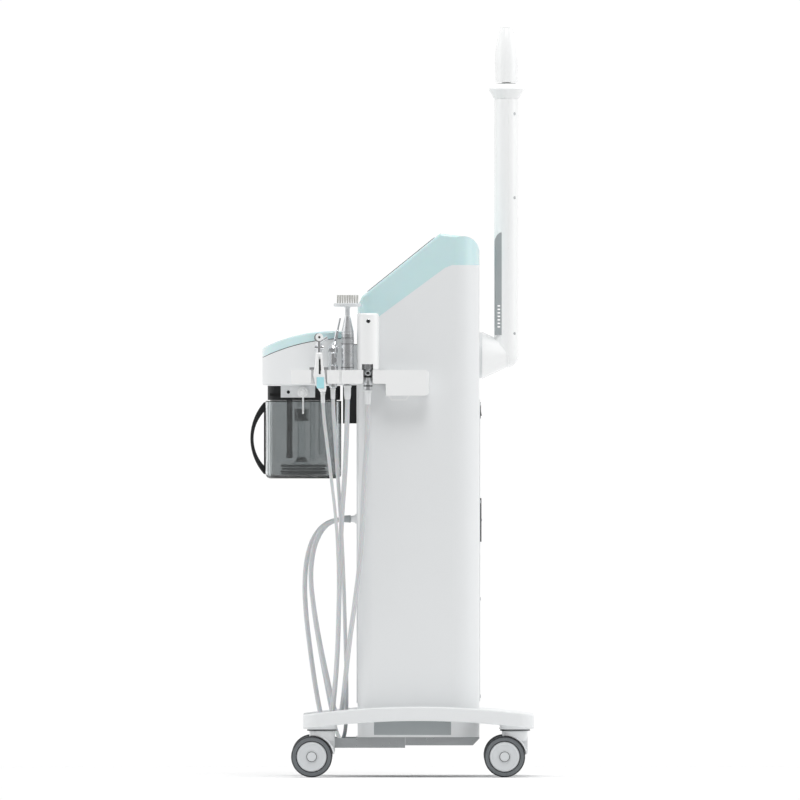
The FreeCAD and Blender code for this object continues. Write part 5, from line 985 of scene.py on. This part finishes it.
class TROLLEY_OT_handpieces(bpy.types.Operator):
    """Add the wand's port, its hole painted black as shade, and coupling rings, the gun's slot and nozzle, with the
    slot and the nozzle's bore painted black as shade, and the pen's dark neck
    """
    bl_idname = "trolley.handpieces"
    bl_label = "Handpiece Details"

    def execute(self, context):
        wand_low, wand_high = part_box("wand_body")
        wand = centre_of("wand_connector")
        rail_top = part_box("handpiece_holder")[1].z
        port = (wand.x + 0.0006, wand_low.y + 0.0004, wand_high.z - 0.015)
        dark = [
            # painted shade: the first is a black disc in the port, standing in for the shade inside its hole
            ([(0, 2.0), (3.0, 2.0), (3.0, -0.2), (2.2, -0.2), (2.0, 0.6), (0, 0.6)], port, "Y", 1),
            ([(10.2, 1.2), (10.75, 1.4), (10.75, 11.2), (10.2, 11.4)], (wand.x, wand.y, rail_top)),
            ([(5.4, -14.2), (6.5, -13.6), (6.9, -12.4), (6.5, -11.2), (5.4, -10.6)], (wand.x, wand.y, rail_top)),
            ([(7.4, -30.4), (8.3, -30.0), (8.3, -28.4), (7.4, -28.0)], (wand.x, wand.y, rail_top)),
            ([(0, 1.0), (3.1, 1.0), (3.1, -0.9), (2.6, -1.2), (0, -1.2)],
             (wand.x, wand.y - 0.0072, rail_top - 0.006), "Y", 1),
        ]
        fit("wand_seals_and_port_shade", dark, "abs_black_spark_textured", "wand", "dark_plastic")
        bezel = [([(3.0, 0.6), (4.0, 0.6), (4.0, -0.3), (3.6, -0.5), (3.1, -0.4)], port, "Y", 1)]
        fit("wand_port_bezel", bezel, "brass_chrome_plated", "wand", "plated_metal")
        self.gun()
        self.pen(rail_top)
        return {"FINISHED"}

    def gun(self):
        low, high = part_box("gun_grip")
        middle = (low + high) / 2
        made = bmesh.new()
        # painted shade: a black strip, nearly flush, where the grip's slot is recessed
        pillow(made, (middle.x - 0.0022, low.y - 0.0003, middle.z - 0.004),
               (middle.x + 0.0022, low.y + 0.003, high.z - 0.012), 0.0012, 3)
        fit("gun_grip_slot_shade", mesh_from("gun_grip_slot_shade", made), "abs_black_spark_textured", "gun", "dark_plastic")
        head_low, head_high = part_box("gun_head")
        face = (middle.x - 0.0006, head_low.y, head_high.z - 0.0072)
        cap = [([(2.3, -0.5), (6.4, -0.5), (7.0, 0.1), (7.0, 1.4), (2.3, 1.4)], face, "Y", 1)]
        fit("gun_nozzle_cap", cap, "abs_bright_white_polished", "gun", "white_shell")
        # painted shade: a black disc at the foot of the cap's hole, for the shade inside the nozzle's bore
        bore = [([(0, 0.1), (2.2, 0.1), (2.2, 1.2), (0, 1.2)], face, "Y", 1)]
        fit("gun_nozzle_bore_shade", bore, "abs_black_spark_textured", "gun", "dark_plastic")

    def pen(self, rail_top):
        pen = centre_of("pen_body")
        rings = [([(11.5, h), (12.0, h + 0.2), (12.0, h + 0.9), (11.5, h + 1.1)], (pen.x, pen.y, rail_top))
                 for h in (4.0, 47.0, 58.0)]
        fit("pen_rings", rings, "abs_black_spark_textured", "pen", "dark_plastic")


# ---------------------------------------------------------------- panel and running order

OPERATORS = (
    TROLLEY_OT_stage,
    TROLLEY_OT_finishes,
    TROLLEY_OT_hoses,
    TROLLEY_OT_hose_ends,
    TROLLEY_OT_bristles,
    TROLLEY_OT_screws,
    TROLLEY_OT_knurls,
    TROLLEY_OT_casters,
    TROLLEY_OT_holder,
    TROLLEY_OT_lid_gap_shade,
    TROLLEY_OT_under_base_shade,
    TROLLEY_OT_jar,
    TROLLEY_OT_handpieces,
)


class TROLLEY_PT_build(bpy.types.Panel):
    """The trolley's pieces, in building order"""
    bl_label = "Treatment Trolley"
    bl_idname = "TROLLEY_PT_build"
    bl_space_type = "VIEW_3D"
    bl_region_type = "UI"
    bl_category = "Trolley"

    def draw(self, context):
        for operator in OPERATORS:
            self.layout.operator(operator.bl_idname)
        for name, kind in GROUPS.items():
            box = self.layout.box()
            for value in kind.__annotations__:
                box.prop(getattr(context.scene, name), value)


def register():
    for kind in (*GROUPS.values(), *OPERATORS, TROLLEY_PT_build):
        bpy.utils.register_class(kind)
    for name, kind in GROUPS.items():
        setattr(bpy.types.Scene, name, bpy.props.PointerProperty(type=kind))


def unregister():
    for name in GROUPS:
        delattr(bpy.types.Scene, name)
    for kind in reversed((*GROUPS.values(), *OPERATORS, TROLLEY_PT_build)):
        bpy.utils.unregister_class(kind)


def main():
    register()
    for operator in OPERATORS:
        family, _, name = operator.bl_idname.partition(".")
        getattr(getattr(bpy.ops, family), name)()


if __name__ == "__main__":
    main()
